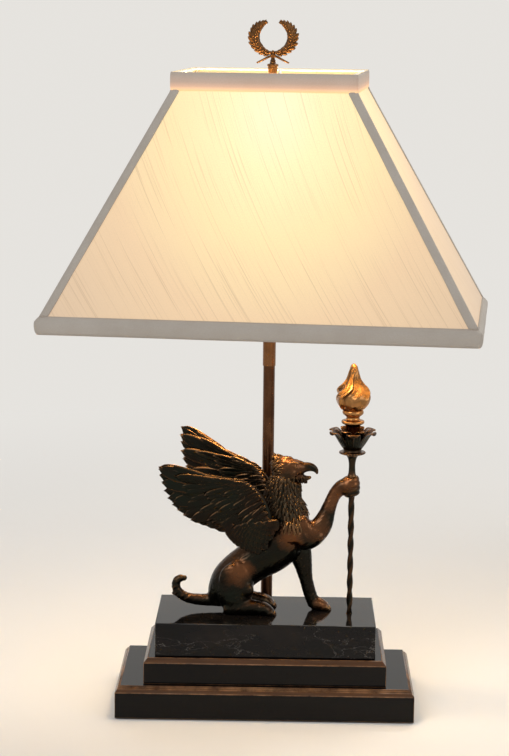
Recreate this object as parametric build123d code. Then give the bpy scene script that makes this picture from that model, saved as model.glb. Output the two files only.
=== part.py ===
from build123d import *
import os
from functools import cache
from math import atan2, cos, degrees, pi, radians, sin, tan

# Table lamp: a bronze griffin holding a torch stands on a stepped base in front of a brass pole.
# The pole carries the lamp holder, the harp, a four-sided fabric shade and a wreath finial.
# Frame: millimetres, +Z up, origin on the pole's axis at table level, the griffin faces +X,
# and -Y is the front.

# ---------------------------------------------------------------- base
felt_thickness = 1.5
felt_inset = 6.0
plinth_width = 320.0
plinth_depth = 150.0
plinth_height = 35.1
plinth_bevel_height = 3.6
plinth_bevel_width = 2.8
bead_height = 1.6
bead_ledge = 1.2
riser_width = 260.0
riser_depth = 127.0
riser_height = 28.2
riser_bevel_height = 5.0
riser_bevel_width = 4.4
marble_width = 236.5
marble_depth = 110.0
marble_height = 36.7
marble_chamfer = 0.6
pole_from_marble_back = 16.0
cavity_width = 70.0
cavity_depth = 46.0
cavity_height = 22.0

# ---------------------------------------------------------------- pole and lamp pipe
pipe_radius = 5.1
pipe_bore_radius = 3.4
pipe_clearance = 0.15
pipe_tail = 12.0
pole_radius = 6.35
pole_height = 338.5
sleeve_radius = 7.0
sleeve_length = 73.0
slip_fit = 0.05
nut_across_flats = 17.0
nut_height = 5.0
washer_radius = 13.0
washer_thickness = 1.6
spring_washer_thickness = 2.2

# ---------------------------------------------------------------- fasteners in the base
screw_radius = 2.0
screw_head_radius = 4.4
screw_bite = 13.0
screw_x = 104.0
screw_y = 48.0
bolt_radius = 2.5
bolt_head_radius = 4.6
bolt_head_height = 4.5
bolt_bite = 12.0
bolt_clearance = 0.4
grommet_bore_radius = 3.6
grommet_wall = 1.6
grommet_flange_radius = 8.5
grommet_flange = 1.8
grommet_length = 14.0

# ---------------------------------------------------------------- harp, lamp holder and bulb
saddle_half_width = 26.0
saddle_leg = 15.0
saddle_thickness = 2.0
saddle_depth = 12.0
saddle_corner = 7.0
tab_width = 4.4
tab_height = 6.0
harp_wire_radius = 1.8
harp_half_width = 50.0
harp_height = 230.2
harp_straight = 32.0
harp_foot_radius = 3.2
harp_foot_height = 8.0
harp_foot_lift = 1.0
harp_eye_radius = 6.5
ferrule_radius = 4.3
ferrule_length = 14.0
ferrule_travel = 12.0
stud_radius = 3.1
stud_length = 17.0
stud_collar_radius = 7.5
stud_collar = 2.0
cap_radius = 16.6
cap_height = 20.0
cap_neck_radius = 8.0
cap_neck_height = 6.0
sheet_metal = 0.7
shell_height = 42.0
sleeve_wall = 0.7
holder_gap = 0.15
core_height = 22.0
core_radius = 14.9
core_drop = 4.0
thread_shell_radius = 13.7
thread_shell_wall = 0.4
thread_shell_height = 25.0
contact_thickness = 0.6
contact_radius = 3.0
contact_shank_radius = 2.1
contact_hole_radius = 2.2
terminal_radius = 2.6
terminal_height = 2.0
key_height = 12.0
key_spindle_radius = 1.7
key_reach = 12.0
key_width = 15.0
key_thickness = 3.4
bulb_base_radius = 12.9
bulb_base_height = 25.5
bulb_radius = 30.0
bulb_length = 86.0
bulb_neck_radius = 13.6
glass_wall = 0.8

# ---------------------------------------------------------------- shade
shade_turn = -6.3
shade_top_half_width = 96.0
shade_top_half_depth = 79.0
shade_bottom_half_width = 230.0
shade_bottom_half_depth = 124.0
shade_height = 271.8
shade_flare_width = 3.5
shade_flare_depth = 2.0
shade_flare_height = 6.0
shade_corner_wire = 1.3
cover_thickness = 0.6
lining_thickness = 0.5
lining_hem = 3.0
trim_thickness = 1.2
top_trim_height = 19.0
bottom_trim_height = 19.5
trim_roll = 1.5
corner_trim_width = 8.5
corner_trim_thickness = 0.6
wire_gap = 0.65
spider_drop = 13.0
spider_ring_radius = 11.0
spider_ring_thickness = 1.6
spider_hole_clearance = 0.4
spider_arm_radius = 1.6
spider_arm_drop = 0.3

# ---------------------------------------------------------------- finial
finial_radius = 5.9
finial_seat_gap = 0.15
finial_neck_height = 20.5
wreath_half_width = 18.8
wreath_half_height = 17.8
wreath_thickness = 3.2
wreath_stem_radius = 1.5
leaf_length = 9.8
leaf_width = 4.3
leaf_stations = 8

# ---------------------------------------------------------------- torch
torch_x = 91.0
torch_y = -45.0
stem_radius = 2.9
stem_twist_depth = 0.5
stem_height = 176.0
stem_tenon = 10.0
collar_radius = 14.3
collar_height = 6.5
cup_height = 23.0
cup_base_radius = 9.5
cup_waist_radius = 18.5
cup_lip_radius = 26.5
cup_wall = 1.6
petal_count = 6
flame_collar_radius = 12.5
flame_neck_radius = 7.0
flame_neck_height = 15.5
flame_radius = 20.5
flame_height = 56.0
flame_tongues = 5
flame_tongue_depth = 0.11
flame_twist = 75.0

# ---------------------------------------------------------------- griffin
griffin_bolt_x = -40.0
paw_bolt_x = 57.0
grip_height = 142.0
grip_radius = 9.2
finger_radius = 2.9
finger_pitch = 5.3
wing_splay = 12.0
wing_seat = 22.0
wing_boss_radius = 6.5
wing_boss_depth = 13.0
wing_boss_x = 3.0
wing_boss_height = 97.0
far_wing_lift = 13.0
feather_thickness = 3.0
feather_lap = 0.23
wing_arm_standoff = 2.0
primary_count = 10
primary_width = 14.0
covert_count = 7
covert_width = 13.0
scale_rows = 3
scales_per_row = 5
scale_length = 17.0

# ---------------------------------------------------------------- levels worked out from the above
base_y = pole_from_marble_back - marble_depth / 2
plinth_z = felt_thickness
riser_z = plinth_z + plinth_height
marble_z = riser_z + riser_height
deck_z = marble_z + marble_height
saddle_z = deck_z + pole_height
cap_z = saddle_z + saddle_thickness
shell_z = cap_z + cap_height
core_z = shell_z - core_drop
thread_shell_z = core_z + core_height
bulb_z = thread_shell_z + contact_thickness + holder_gap
harp_z = saddle_z + saddle_leg + saddle_thickness
harp_top_z = saddle_z + harp_height
stud_seat_z = harp_top_z + stud_collar
spider_z = stud_seat_z
finial_z = spider_z + spider_ring_thickness + finial_seat_gap
shade_top_z = spider_z + spider_drop
shade_bottom_z = shade_top_z - shade_height
paw_y = base_y + 6.0
cavity_top_z = plinth_z + cavity_height


def cylinder(radius, height, x=0.0, y=0.0, z=0.0):
    return Pos(x, y, z) * Cylinder(radius, height, align=(Align.CENTER, Align.CENTER, Align.MIN))


def tube(outer, inner, height, z=0.0, x=0.0, y=0.0):
    return cylinder(outer, height, x, y, z) - cylinder(inner, height, x, y, z)


def block(width, depth, height, x=0.0, y=0.0, z=0.0):
    return Pos(x, y, z) * Box(width, depth, height, align=(Align.CENTER, Align.CENTER, Align.MIN))


def turned(points, z=0.0):
    """A piece turned on a lathe: points are (radius, height), closed back to the first."""
    outline = Plane.XZ * make_face(Polyline(*points, close=True))
    return Pos(0, 0, z) * revolve(outline, axis=Axis.Z)


def frustum(width, depth, top_width, top_depth, height, z):
    """A rectangular slab whose four sides lean in, for a bevelled edge."""
    lower = Plane.XY.offset(z) * Rectangle(width, depth)
    upper = Plane.XY.offset(z + height) * Rectangle(top_width, top_depth)
    return Pos(0, base_y, 0) * loft([lower, upper])


# ---------------------------------------------------------------- base pieces
def screw_places():
    return [(sx * screw_x, base_y + sy * screw_y) for sx in (-1, 1) for sy in (-1, 1)]


def bolt_places():
    return [(griffin_bolt_x, base_y), (paw_bolt_x, paw_y)]


def felt_pad():
    return block(plinth_width - 2 * felt_inset, plinth_depth - 2 * felt_inset, felt_thickness, y=base_y)


def wood_screw(x, y, slack=0.0):
    """A countersunk screw driven up from the plinth's underside."""
    length = plinth_height + screw_bite
    r, head, taper = screw_radius + slack, screw_head_radius + slack, screw_head_radius - screw_radius
    outline = [(0, 0), (head, 0), (r, taper), (r, length - 2 * r), (0, length + slack)]
    return Pos(x, y, 0) * turned(outline, plinth_z)


def tier_screws():
    return Compound(children=[wood_screw(x, y) for x, y in screw_places()])


def plinth():
    """The bottom board: a bevelled edge with two small beads above it, hollowed underneath."""
    face_height = plinth_height - 2 * bead_height - plinth_bevel_height
    inner_w = plinth_width - 2 * plinth_bevel_width
    inner_d = plinth_depth - 2 * plinth_bevel_width
    board = block(plinth_width, plinth_depth, face_height, y=base_y, z=plinth_z)
    bevel_z = plinth_z + face_height
    board += frustum(plinth_width, plinth_depth, inner_w, inner_d, plinth_bevel_height, bevel_z)
    for bead in (1, 2):
        z = plinth_z + plinth_height - (3 - bead) * bead_height
        cut = 2 * bead * bead_ledge
        board += block(inner_w - cut, inner_d - cut, bead_height, y=base_y, z=z)
    board -= block(cavity_width, cavity_depth, cavity_height, z=plinth_z, y=cavity_y())
    board -= cylinder(pipe_radius + pipe_clearance, plinth_height, z=plinth_z)
    for x, y in screw_places():
        board -= wood_screw(x, y, slip_fit)
    return board - grommet_bar(grommet_bore_radius + grommet_wall + slip_fit)


def cavity_y():
    """The hollow is centred under the pipe, but keeps off the back wall by the grommet's length."""
    return base_y + plinth_depth / 2 - grommet_length - cavity_depth / 2


def grommet_z():
    return plinth_z + cavity_height / 2


def grommet_bar(radius):
    """A round bar on the grommet's axis, through the plinth's back wall."""
    back = base_y + plinth_depth / 2
    length = grommet_length
    return Pos(0, back - length / 2, grommet_z()) * Rot(90, 0, 0) * Cylinder(radius, length)


def cord_grommet():
    back = base_y + plinth_depth / 2
    flange = Pos(0, back + grommet_flange / 2, grommet_z()) * Rot(90, 0, 0)
    body = grommet_bar(grommet_bore_radius + grommet_wall)
    body += flange * Cylinder(grommet_flange_radius, grommet_flange)
    bore = Pos(0, back, grommet_z()) * Rot(90, 0, 0) * Cylinder(grommet_bore_radius, 4 * grommet_length)
    return body - bore


def riser():
    """The middle board, with one bevel, drilled for the pipe, the figure bolts and the screws."""
    face_height = riser_height - riser_bevel_height
    board = block(riser_width, riser_depth, face_height, y=base_y, z=riser_z)
    board += frustum(riser_width, riser_depth, riser_width - 2 * riser_bevel_width,
                     riser_depth - 2 * riser_bevel_width, riser_bevel_height, riser_z + face_height)
    board -= cylinder(pipe_radius + pipe_clearance, riser_height, z=riser_z)
    for x, y in bolt_places():
        board -= cylinder(bolt_radius + bolt_clearance, riser_height, x, y, riser_z)
        board -= cylinder(bolt_head_radius + bolt_clearance, bolt_head_height, x, y, riser_z)
    for x, y in screw_places():
        board -= wood_screw(x, y, slip_fit)
    return board


def marble_block():
    slab = block(marble_width, marble_depth, marble_height, y=base_y, z=marble_z)
    slab = chamfer(slab.edges(), marble_chamfer)
    slab -= cylinder(pipe_radius + pipe_clearance, marble_height, z=marble_z)
    for x, y in bolt_places():
        slab -= cylinder(bolt_radius + bolt_clearance, marble_height, x, y, marble_z)
    slab -= cylinder(stem_radius + slip_fit, stem_tenon, torch_x, torch_y, deck_z - stem_tenon)
    return slab


def figure_bolts():
    """Two bolts from under the riser, up through the marble into the griffin's rump and paw."""
    bolts = []
    for x, y in bolt_places():
        bolt = cylinder(bolt_head_radius, bolt_head_height, x, y, riser_z)
        bolts.append(bolt + cylinder(bolt_radius, riser_height + marble_height + bolt_bite, x, y, riser_z))
    return Compound(children=bolts)


# ---------------------------------------------------------------- pipe, pole and nuts
def lamp_pipe():
    bottom = cavity_top_z - pipe_tail
    return tube(pipe_radius, pipe_bore_radius, cap_z + cap_neck_height + 4.0 - bottom, bottom)


def pipe_washer():
    z = cavity_top_z - washer_thickness
    return tube(washer_radius, pipe_radius + pipe_clearance, washer_thickness, z)


def spring_washer():
    """A split ring, opened by a narrow cut."""
    z = cavity_top_z - washer_thickness - spring_washer_thickness
    ring = tube(pipe_radius + 3.2, pipe_radius + pipe_clearance, spring_washer_thickness, z)
    return ring - block(12, 0.8, spring_washer_thickness, x=pipe_radius + 3.0, z=z)


def pipe_nut():
    z = cavity_top_z - washer_thickness - spring_washer_thickness - nut_height
    flat = Plane.XY.offset(z) * RegularPolygon(nut_across_flats / 2, 6, major_radius=False)
    return extrude(flat, nut_height) - cylinder(pipe_radius + slip_fit, nut_height, z=z)


def pole():
    return tube(pole_radius, pipe_radius + pipe_clearance, pole_height, deck_z)


def neck_sleeve():
    return tube(sleeve_radius, pole_radius + slip_fit, sleeve_length, saddle_z - sleeve_length)


# ---------------------------------------------------------------- harp
def harp_saddle():
    """A stamped strap: a flat foot on the pole and two upturned legs, each with a narrow tab."""
    outer_w = 2 * saddle_half_width + saddle_thickness
    leg_top = saddle_leg + saddle_thickness
    outer = RectangleRounded(outer_w, leg_top + saddle_corner, saddle_corner)
    outer = Pos(0, leg_top / 2 + saddle_corner / 2) * outer
    inner_h = leg_top + saddle_corner - saddle_thickness
    inner = RectangleRounded(outer_w - 2 * saddle_thickness, inner_h, saddle_corner - saddle_thickness)
    strap = outer - Pos(0, saddle_thickness + inner_h / 2) * inner
    strap -= Pos(0, leg_top + saddle_corner) * Rectangle(2 * outer_w, 2 * saddle_corner)
    bent = Pos(0, 0, saddle_z) * extrude(Plane.XZ * strap, saddle_depth / 2, both=True)
    for side in (-1, 1):
        bent += block(saddle_thickness, tab_width, tab_height, x=side * saddle_half_width, z=harp_z)
    return bent - cylinder(pipe_radius + pipe_clearance, 2 * saddle_thickness, z=saddle_z - saddle_thickness)


def harp_path():
    """Half of the harp's line from its foot to the middle of its top, mirrored for the other half."""
    h = harp_top_z - harp_wire_radius - harp_z
    half = [(saddle_half_width, tab_height + slip_fit), (saddle_half_width, harp_straight),
            (harp_half_width, 0.37 * h), (harp_half_width, 0.66 * h), (harp_half_width * 0.3, h)]
    points = half + [(-x, z) for x, z in reversed(half)]
    line = FilletPolyline(*points, radius=[30, 45, 60, 13, 13, 60, 45, 30])
    return Plane.XZ * Pos(0, harp_z) * line


def harp():
    path = harp_path()
    start = path @ 0
    section = Plane(origin=start, z_dir=path % 0) * Circle(harp_wire_radius)
    wire = sweep(section, path=path)
    for side in (-1, 1):
        x = side * saddle_half_width
        wire += cylinder(harp_foot_radius, harp_foot_height, x, 0, harp_z + harp_foot_lift)
        slot_x, slot_y = saddle_thickness + 2 * slip_fit, tab_width + 2 * slip_fit
        wire -= block(slot_x, slot_y, tab_height + slip_fit, x=x, z=harp_z)
    wire += cylinder(harp_eye_radius, 2 * harp_wire_radius, z=harp_top_z - 2 * harp_wire_radius)
    return wire - cylinder(stud_radius + slip_fit, 4 * harp_wire_radius, z=harp_top_z - 4 * harp_wire_radius)


def ferrule(side):
    """The sleeve that locks one end of the harp over the saddle's tab. It slides up the harp's leg."""
    x = side * saddle_half_width
    ring = tube(ferrule_radius, harp_foot_radius + 2 * slip_fit, ferrule_length, harp_z + 0.3, x)
    lip = tube(ferrule_radius + 0.7, harp_foot_radius + 2 * slip_fit, 1.4, harp_z + 0.3, x)
    return ring + lip


def harp_stud():
    """The stud that carries the shade and the finial: a collar above the harp's eye, riveted below it."""
    tail = 3 * harp_wire_radius
    stud = cylinder(stud_radius, stud_length + stud_collar + tail, z=harp_top_z - tail)
    stud += cylinder(stud_collar_radius, stud_collar, z=harp_top_z)
    return stud + cylinder(stud_radius + 1.4, 1.4, z=harp_top_z - 2 * harp_wire_radius - 1.4)


# ---------------------------------------------------------------- lamp holder
def socket_cap():
    """The domed lower cap on the pipe's end, hollow, with its rim turned outwards."""
    t, neck = sheet_metal, cap_neck_height
    bore = pipe_radius + slip_fit
    outline = [(bore, 0), (cap_neck_radius, 0), (cap_neck_radius, neck), (cap_radius - 4, neck + 4),
               (cap_radius, neck + 9), (cap_radius, cap_height), (cap_radius - t, cap_height),
               (cap_radius - t, neck + 9), (cap_radius - 4 - t / 2, neck + 4 + t), (bore, neck + t)]
    return turned(outline, cap_z)


def key_hole(radius):
    z = shell_z + key_height
    return Pos(0, -cap_radius, z) * Rot(90, 0, 0) * Cylinder(radius, cap_radius)


def socket_shell():
    """The upper brass shell, with a rolled bead low down and a round hole for the key."""
    t, h = sheet_metal, shell_height
    r = cap_radius
    outline = [(r - t, 0), (r, 0), (r, 3), (r + 0.9, 4), (r + 0.9, 5), (r, 6), (r, h - 1.5)]
    outline += [(r + 0.8, h - 0.8), (r + 0.8, h), (r - t, h)]
    return turned(outline, shell_z) - key_hole(key_spindle_radius + 1.2)


def insulating_sleeve():
    outer = cap_radius - sheet_metal - holder_gap
    return tube(outer, outer - sleeve_wall, shell_height - 2.0, shell_z) - key_hole(key_spindle_radius + 1.2)


def socket_core():
    """The moulded body that holds the contacts: a drum with a flat on each side for a terminal."""
    drum = cylinder(core_radius, core_height, z=core_z)
    for side in (-1, 1):
        drum -= block(6, 10, core_height * 0.6, x=side * (core_radius + 0.6), z=core_z)
        seat = Pos(side * (core_radius - 3.2), 0, core_z + core_height * 0.3) * Rot(0, 90, 0)
        drum -= seat * Cylinder(terminal_radius * 0.5 + slip_fit, 6)
    drum -= cylinder(contact_hole_radius, core_height, z=core_z)
    return drum - key_hole(key_spindle_radius + slip_fit * 2)


def terminal_screws():
    screws = []
    for side in (-1, 1):
        turn = Rot(0, 90 * side, 0)
        place = Pos(side * (core_radius - 2.4), 0, core_z + core_height * 0.3)
        head = cylinder(terminal_radius, terminal_height)
        shank = cylinder(terminal_radius * 0.5, 3.2, z=-3)
        slot = Pos(0, 0, terminal_height) * Box(2 * terminal_radius, 0.7, 1.2)
        screws.append(place * turn * (head + shank - slot))
    return Compound(children=screws)


def thread_shell():
    """The screw shell that takes the bulb, with rolled thread rings and a turned-in foot."""
    r, t, h = thread_shell_radius, thread_shell_wall, thread_shell_height
    outer, inner = [(5, 0), (r, 0)], [(r - t, t), (5, t)]
    pitch = h / 7
    for ring in range(7):
        z = ring * pitch
        outer += [(r, z + 0.3 * pitch), (r + 0.45, z + 0.65 * pitch)]
        inner = [(r + 0.45 - t, z + 0.65 * pitch), (r - t, z + 0.3 * pitch + t)] + inner
    outer += [(r, h)]
    inner = [(r - t, h)] + inner
    return turned(outer + inner, thread_shell_z)


def centre_contact():
    """The spring contact under the bulb: a round head on a shank that drops into the core."""
    shank = core_height * 0.5
    head = cylinder(contact_radius, contact_thickness, z=thread_shell_z)
    return head + cylinder(contact_shank_radius, shank, z=thread_shell_z - shank)


def switch_key():
    """The turn key: a spindle through the shell and a flat waisted paddle, with its edges rounded."""
    z = shell_z + key_height
    tip_y = -cap_radius - key_reach
    length = key_reach + cap_radius - core_radius + 5.0
    spindle = Pos(0, tip_y + length / 2, z) * Rot(90, 0, 0) * Cylinder(key_spindle_radius, length)
    paddle = Rot(90, 0, 0) * SlotOverall(key_width, key_width * 0.62)
    paddle = Pos(0, tip_y + key_thickness * 0.8, z) * extrude(paddle, key_thickness)
    return spindle + fillet(paddle.edges(), 0.9)


# ---------------------------------------------------------------- bulb
def bulb_base():
    """The screw base: thread rings, a shoulder and a flared collar under the glass."""
    r, h = bulb_base_radius, bulb_base_height
    pitch = (h - 8) / 5
    rings = []
    for ring in range(5):
        z = 4 + ring * pitch
        rings += [(r - 0.7, z), (r, z + pitch / 2)]
    outline = [(7.5, 3), (r - 0.7, 4)] + rings[1:]
    outline += [(r - 0.7, h - 3.5), (r - 0.7, h), (r - 1.3, h), (r - 1.3, 5), (7.5, 4)]
    return turned(outline, bulb_z)


def bulb_contact():
    """The insulating bead at the bulb's foot with the centre contact button."""
    outline = [(0, 0), (3, 0), (4, 1), (7.4, 2.6), (7.4, 4.6), (0, 4.6)]
    return turned(outline, bulb_z)


def bulb_profile(inset):
    """The pear outline of the envelope, as radius and height, smooth through its waist and crown."""
    rise = bulb_z + bulb_base_height
    ball_z = rise + bulb_length - bulb_radius
    r = bulb_radius - inset
    neck = bulb_neck_radius - inset
    join = (r * cos(radians(25)), ball_z - r * sin(radians(25)))
    return rise, ball_z, r, neck, join


def bulb_solid(inset):
    rise, ball_z, r, neck, join = bulb_profile(inset)
    foot = rise + inset
    with BuildPart() as envelope:
        with BuildSketch(Plane.XZ):
            with BuildLine():
                slope = (sin(radians(25)), cos(radians(25)))
                waist = Spline((neck, foot + 10), join, tangents=[(0, 1), slope])
                brow = (r * cos(radians(30)), ball_z + r * sin(radians(30)))
                crown = ThreePointArc(join, brow, (0, ball_z + r))
                Polyline((0, ball_z + r), (0, foot), (neck, foot), (neck, foot + 10))
            make_face()
        revolve(axis=Axis.Z)
    return envelope.part


def bulb_glass():
    return bulb_solid(0) - bulb_solid(glass_wall)


def bulb_mount():
    """The glass stem inside the bulb with its two support wires and the coiled filament's bar."""
    rise = bulb_z + bulb_base_height + glass_wall
    stem = turned([(0, 0), (9, 0), (7, 3), (3, 14), (2.4, 26), (0, 26)], rise)
    for side in (-1, 1):
        wire = Line((side * 1.5, 0, rise + 24), (side * 11, 0, rise + 46))
        stem += sweep(Plane(origin=wire @ 0, z_dir=wire % 0) * Circle(0.5), path=wire)
    bar = Pos(0, 0, rise + 46) * Rot(0, 90, 0) * Cylinder(0.9, 22.5)
    return stem + bar


# ---------------------------------------------------------------- shade
def shade_levels():
    """Heights with the cover's half width and half depth there: a straight gallery at the top, the
    sloping panels, a short flare and a straight gallery at the bottom."""
    neck_z = shade_top_z - top_trim_height
    skirt_z = shade_bottom_z + bottom_trim_height
    top = (shade_top_half_width, shade_top_half_depth)
    bottom = (shade_bottom_half_width, shade_bottom_half_depth)
    flare = (bottom[0] - shade_flare_width, bottom[1] - shade_flare_depth)
    return [(shade_top_z, *top), (neck_z, *top), (skirt_z, *flare), (skirt_z - shade_flare_height, *bottom),
            (shade_bottom_z, *bottom)]


def shade_half(z):
    """Half width and half depth of the cover at a height."""
    levels = shade_levels()
    for (z0, w0, d0), (z1, w1, d1) in zip(levels, levels[1:]):
        if z >= z1 - 1e-6:
            t = (z0 - z) / (z0 - z1)
            return w0 + t * (w1 - w0), d0 + t * (d1 - d0)
    return levels[-1][1:]


def skirt(grow_w, grow_d, low_z, high_z):
    """A solid inside the cover's outer faces, grown or shrunk sideways, between two heights."""
    heights = [high_z] + [level[0] for level in shade_levels() if low_z < level[0] < high_z] + [low_z]
    faces = []
    for z in heights:
        w, d = shade_half(z)
        faces.append(Plane.XY.offset(z) * Rectangle(2 * (w + grow_w), 2 * (d + grow_d)))
    return loft(faces, ruled=True)


def layer(outer, inner, low_z, high_z):
    """A thin wall between two offsets of the cover's outer faces."""
    return skirt(outer, outer, low_z, high_z) - skirt(inner, inner, low_z, high_z)


def turn_shade(shape):
    return Rot(0, 0, shade_turn) * shape


def lining_offset():
    return cover_thickness + 2 * shade_corner_wire + 2 * wire_gap


def shade_cover():
    return turn_shade(layer(0, -cover_thickness, shade_bottom_z, shade_top_z))


def shade_lining():
    depth = lining_offset()
    low, high = shade_bottom_z + lining_hem, shade_top_z - 2 * lining_hem
    return turn_shade(layer(-depth, -depth - lining_thickness, low, high))


def top_trim():
    low, high = shade_top_z - top_trim_height, shade_top_z
    return turn_shade(layer(trim_thickness, 0, low, high))


def bottom_trim():
    """The padded bottom band: upright in front, with a rolled top edge that laps on to the panels."""
    low, high = shade_bottom_z, shade_bottom_z + bottom_trim_height
    w, d = shade_bottom_half_width + trim_thickness, shade_bottom_half_depth + trim_thickness
    flare_w, flare_d = shade_half(high)
    lap = corner_trim_thickness
    outlines = [(low, w, d), (high - trim_roll, w, d), (high, flare_w + lap, flare_d + lap)]
    band = loft([Plane.XY.offset(z) * Rectangle(2 * a, 2 * b) for z, a, b in outlines], ruled=True)
    return turn_shade(band - skirt(0, 0, low, high))


def corner_trims():
    """Four folded tapes over the corners, between the two bands."""
    low, high = shade_bottom_z + bottom_trim_height, shade_top_z - top_trim_height
    tapes = layer(corner_trim_thickness, 0, low, high)
    tapes -= skirt(-corner_trim_width, shade_height, low, high)
    tapes -= skirt(shade_height, -corner_trim_width, low, high)
    return turn_shade(tapes)


def wire_inset():
    return cover_thickness + shade_corner_wire + wire_gap


def wire_ring(z):
    w, d = shade_half(z)
    outline = RectangleRounded(2 * (w - wire_inset()), 2 * (d - wire_inset()), 2 * shade_corner_wire)
    path = Plane.XY.offset(z) * outline.wire()
    return sweep(Plane(origin=path @ 0, z_dir=path % 0) * Circle(shade_corner_wire), path=path)


def corner_rib(sx, sy, low, high):
    """A straight rib between two rings, at one corner."""
    ends = []
    for z in (low, high):
        w, d = shade_half(z)
        ends.append((sx * (w - wire_inset()), sy * (d - wire_inset()), z))
    rib = Line(*ends)
    return sweep(Plane(origin=rib @ 0, z_dir=rib % 0) * Circle(shade_corner_wire), path=rib)


def fitter_ring_z():
    return shade_top_z - 1.4 * shade_corner_wire


def spider_arm(reach):
    """One arm of the fitter, just under the washer's top and rising to the top ring."""
    arm_z = spider_z + spider_ring_thickness - spider_arm_radius - spider_arm_drop
    points = [(spider_ring_radius - 3, 0, arm_z), (reach * 0.62, 0, arm_z), (reach, 0, fitter_ring_z())]
    line = FilletPolyline(*points, radius=12)
    return sweep(Plane(origin=line @ 0, z_dir=line % 0) * Circle(spider_arm_radius), path=line)


def shade_fitter():
    """The welded fitter: the top ring, four arms and the washer that drops on to the harp's stud."""
    w, d = shade_half(fitter_ring_z())
    fitter = wire_ring(fitter_ring_z()) + cylinder(spider_ring_radius, spider_ring_thickness, z=spider_z)
    for quarter, half in enumerate((w, d, w, d)):
        fitter += Rot(0, 0, 90 * quarter) * spider_arm(half - wire_inset())
    return turn_shade(fitter - cylinder(stud_radius + spider_hole_clearance, 10, z=spider_z - 5))


def shade_frame():
    """The welded wire frame under the fitter's ring: three rings and the corner ribs."""
    low = shade_bottom_z + 1.4 * shade_corner_wire
    rings = [shade_top_z - top_trim_height, shade_bottom_z + bottom_trim_height, low]
    top = fitter_ring_z() - shade_corner_wire - slip_fit
    bends = [top] + rings[:2] + [rings[1] - shade_flare_height, low]
    pieces = [wire_ring(z) for z in rings[1:]]
    for upper, lower in zip(bends, bends[1:]):
        pieces += [corner_rib(sx, sy, lower, upper) for sx in (-1, 1) for sy in (-1, 1)]
    return turn_shade(wire_ring(rings[0]) + pieces)


# ---------------------------------------------------------------- finial
def finial_nut():
    """The turned foot of the finial, bored to screw down on the stud."""
    r, h = finial_radius, finial_neck_height
    outline = [(0, 0), (r * 0.85, 0), (r * 0.85, 4), (r * 0.6, 6), (r * 0.78, 9), (r * 0.9, h - 5)]
    outline += [(r, h - 4.4), (r, h - 2.4), (r * 0.55, h - 1.6), (r * 0.5, h), (0, h)]
    bore_depth = stud_length - spider_ring_thickness + 1.0
    return turned(outline, finial_z) - cylinder(stud_radius + slip_fit, bore_depth, z=finial_z)


def leaf(length, width):
    """A pointed leaf along +X from the origin, between two arcs."""
    upper = ThreePointArc((0, 0), (length * 0.45, width / 2), (length, 0))
    lower = ThreePointArc((length, 0), (length * 0.45, -width / 2), (0, 0))
    return make_face([upper, lower])


def wreath():
    """Two laurel branches that rise from a bound knot: leaf pairs along an oval, with a rib behind them."""
    centre = finial_z + finial_neck_height + wreath_half_height + 8.0
    flat = Sketch()
    for side in (-1, 1):
        for station in range(leaf_stations):
            share = station / (leaf_stations - 1)
            angle = radians(-80 + 132 * share)
            x, z = wreath_half_width * cos(angle), wreath_half_height * sin(angle)
            heading = degrees(atan2(wreath_half_height * cos(angle), -wreath_half_width * sin(angle)))
            size = 0.62 + 0.5 * sin(pi * (0.15 + 0.75 * share))
            for splay in (-27, 4, 32):
                one = Pos(x, z) * Rot(0, 0, heading + splay) * leaf(leaf_length * size, leaf_width * size)
                flat += one if side > 0 else mirror(one, about=Plane.YZ)
        tail = Rot(0, 0, -28) * Rectangle(19, 2.2)
        if side < 0:
            tail = mirror(tail, about=Plane.YZ)
        flat += Pos(side * 9.5, -wreath_half_height - 5.4) * tail
    flat += Pos(0, -wreath_half_height - 3.0) * Rectangle(6.4, 9.5)
    for berry in (-3.4, 0, 3.4):
        flat += Pos(berry, -wreath_half_height + 2.6 - abs(berry) * 0.25) * Circle(2.0)
    plate = extrude(Plane.XZ * flat, wreath_thickness / 2, both=True)
    foot_z = -wreath_half_height - 8.0
    plate += cylinder(wreath_thickness, 7.0, z=foot_z)
    return Pos(0, 0, centre) * plate


# ---------------------------------------------------------------- torch
def torch_stem():
    """An oval bar turned round as it rises, like a twisted stick, with a tenon in the marble."""
    turns, steps = 2.5, 20
    faces = []
    for i in range(steps + 1):
        share = i / steps
        wave = stem_radius - stem_twist_depth * 0.5
        oval = Rot(0, 0, 360 * turns * share) * Ellipse(wave + stem_twist_depth, wave)
        faces.append(Plane(origin=(torch_x, torch_y, deck_z + stem_height * share)) * oval)
    return loft(faces) + cylinder(stem_radius, stem_tenon + 4.0, torch_x, torch_y, deck_z - stem_tenon)


def torch_collar_z():
    return deck_z + stem_height


def torch_collar():
    """The flared disc between the stem and the cup."""
    r, h = collar_radius, collar_height
    outline = [(0, 0), (stem_radius + 2.2, 0), (r * 0.6, h * 0.3), (r, h * 0.45), (r, h * 0.7)]
    outline += [(r * 0.75, h), (0, h)]
    return Pos(torch_x, torch_y, 0) * turned(outline, torch_collar_z())


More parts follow.
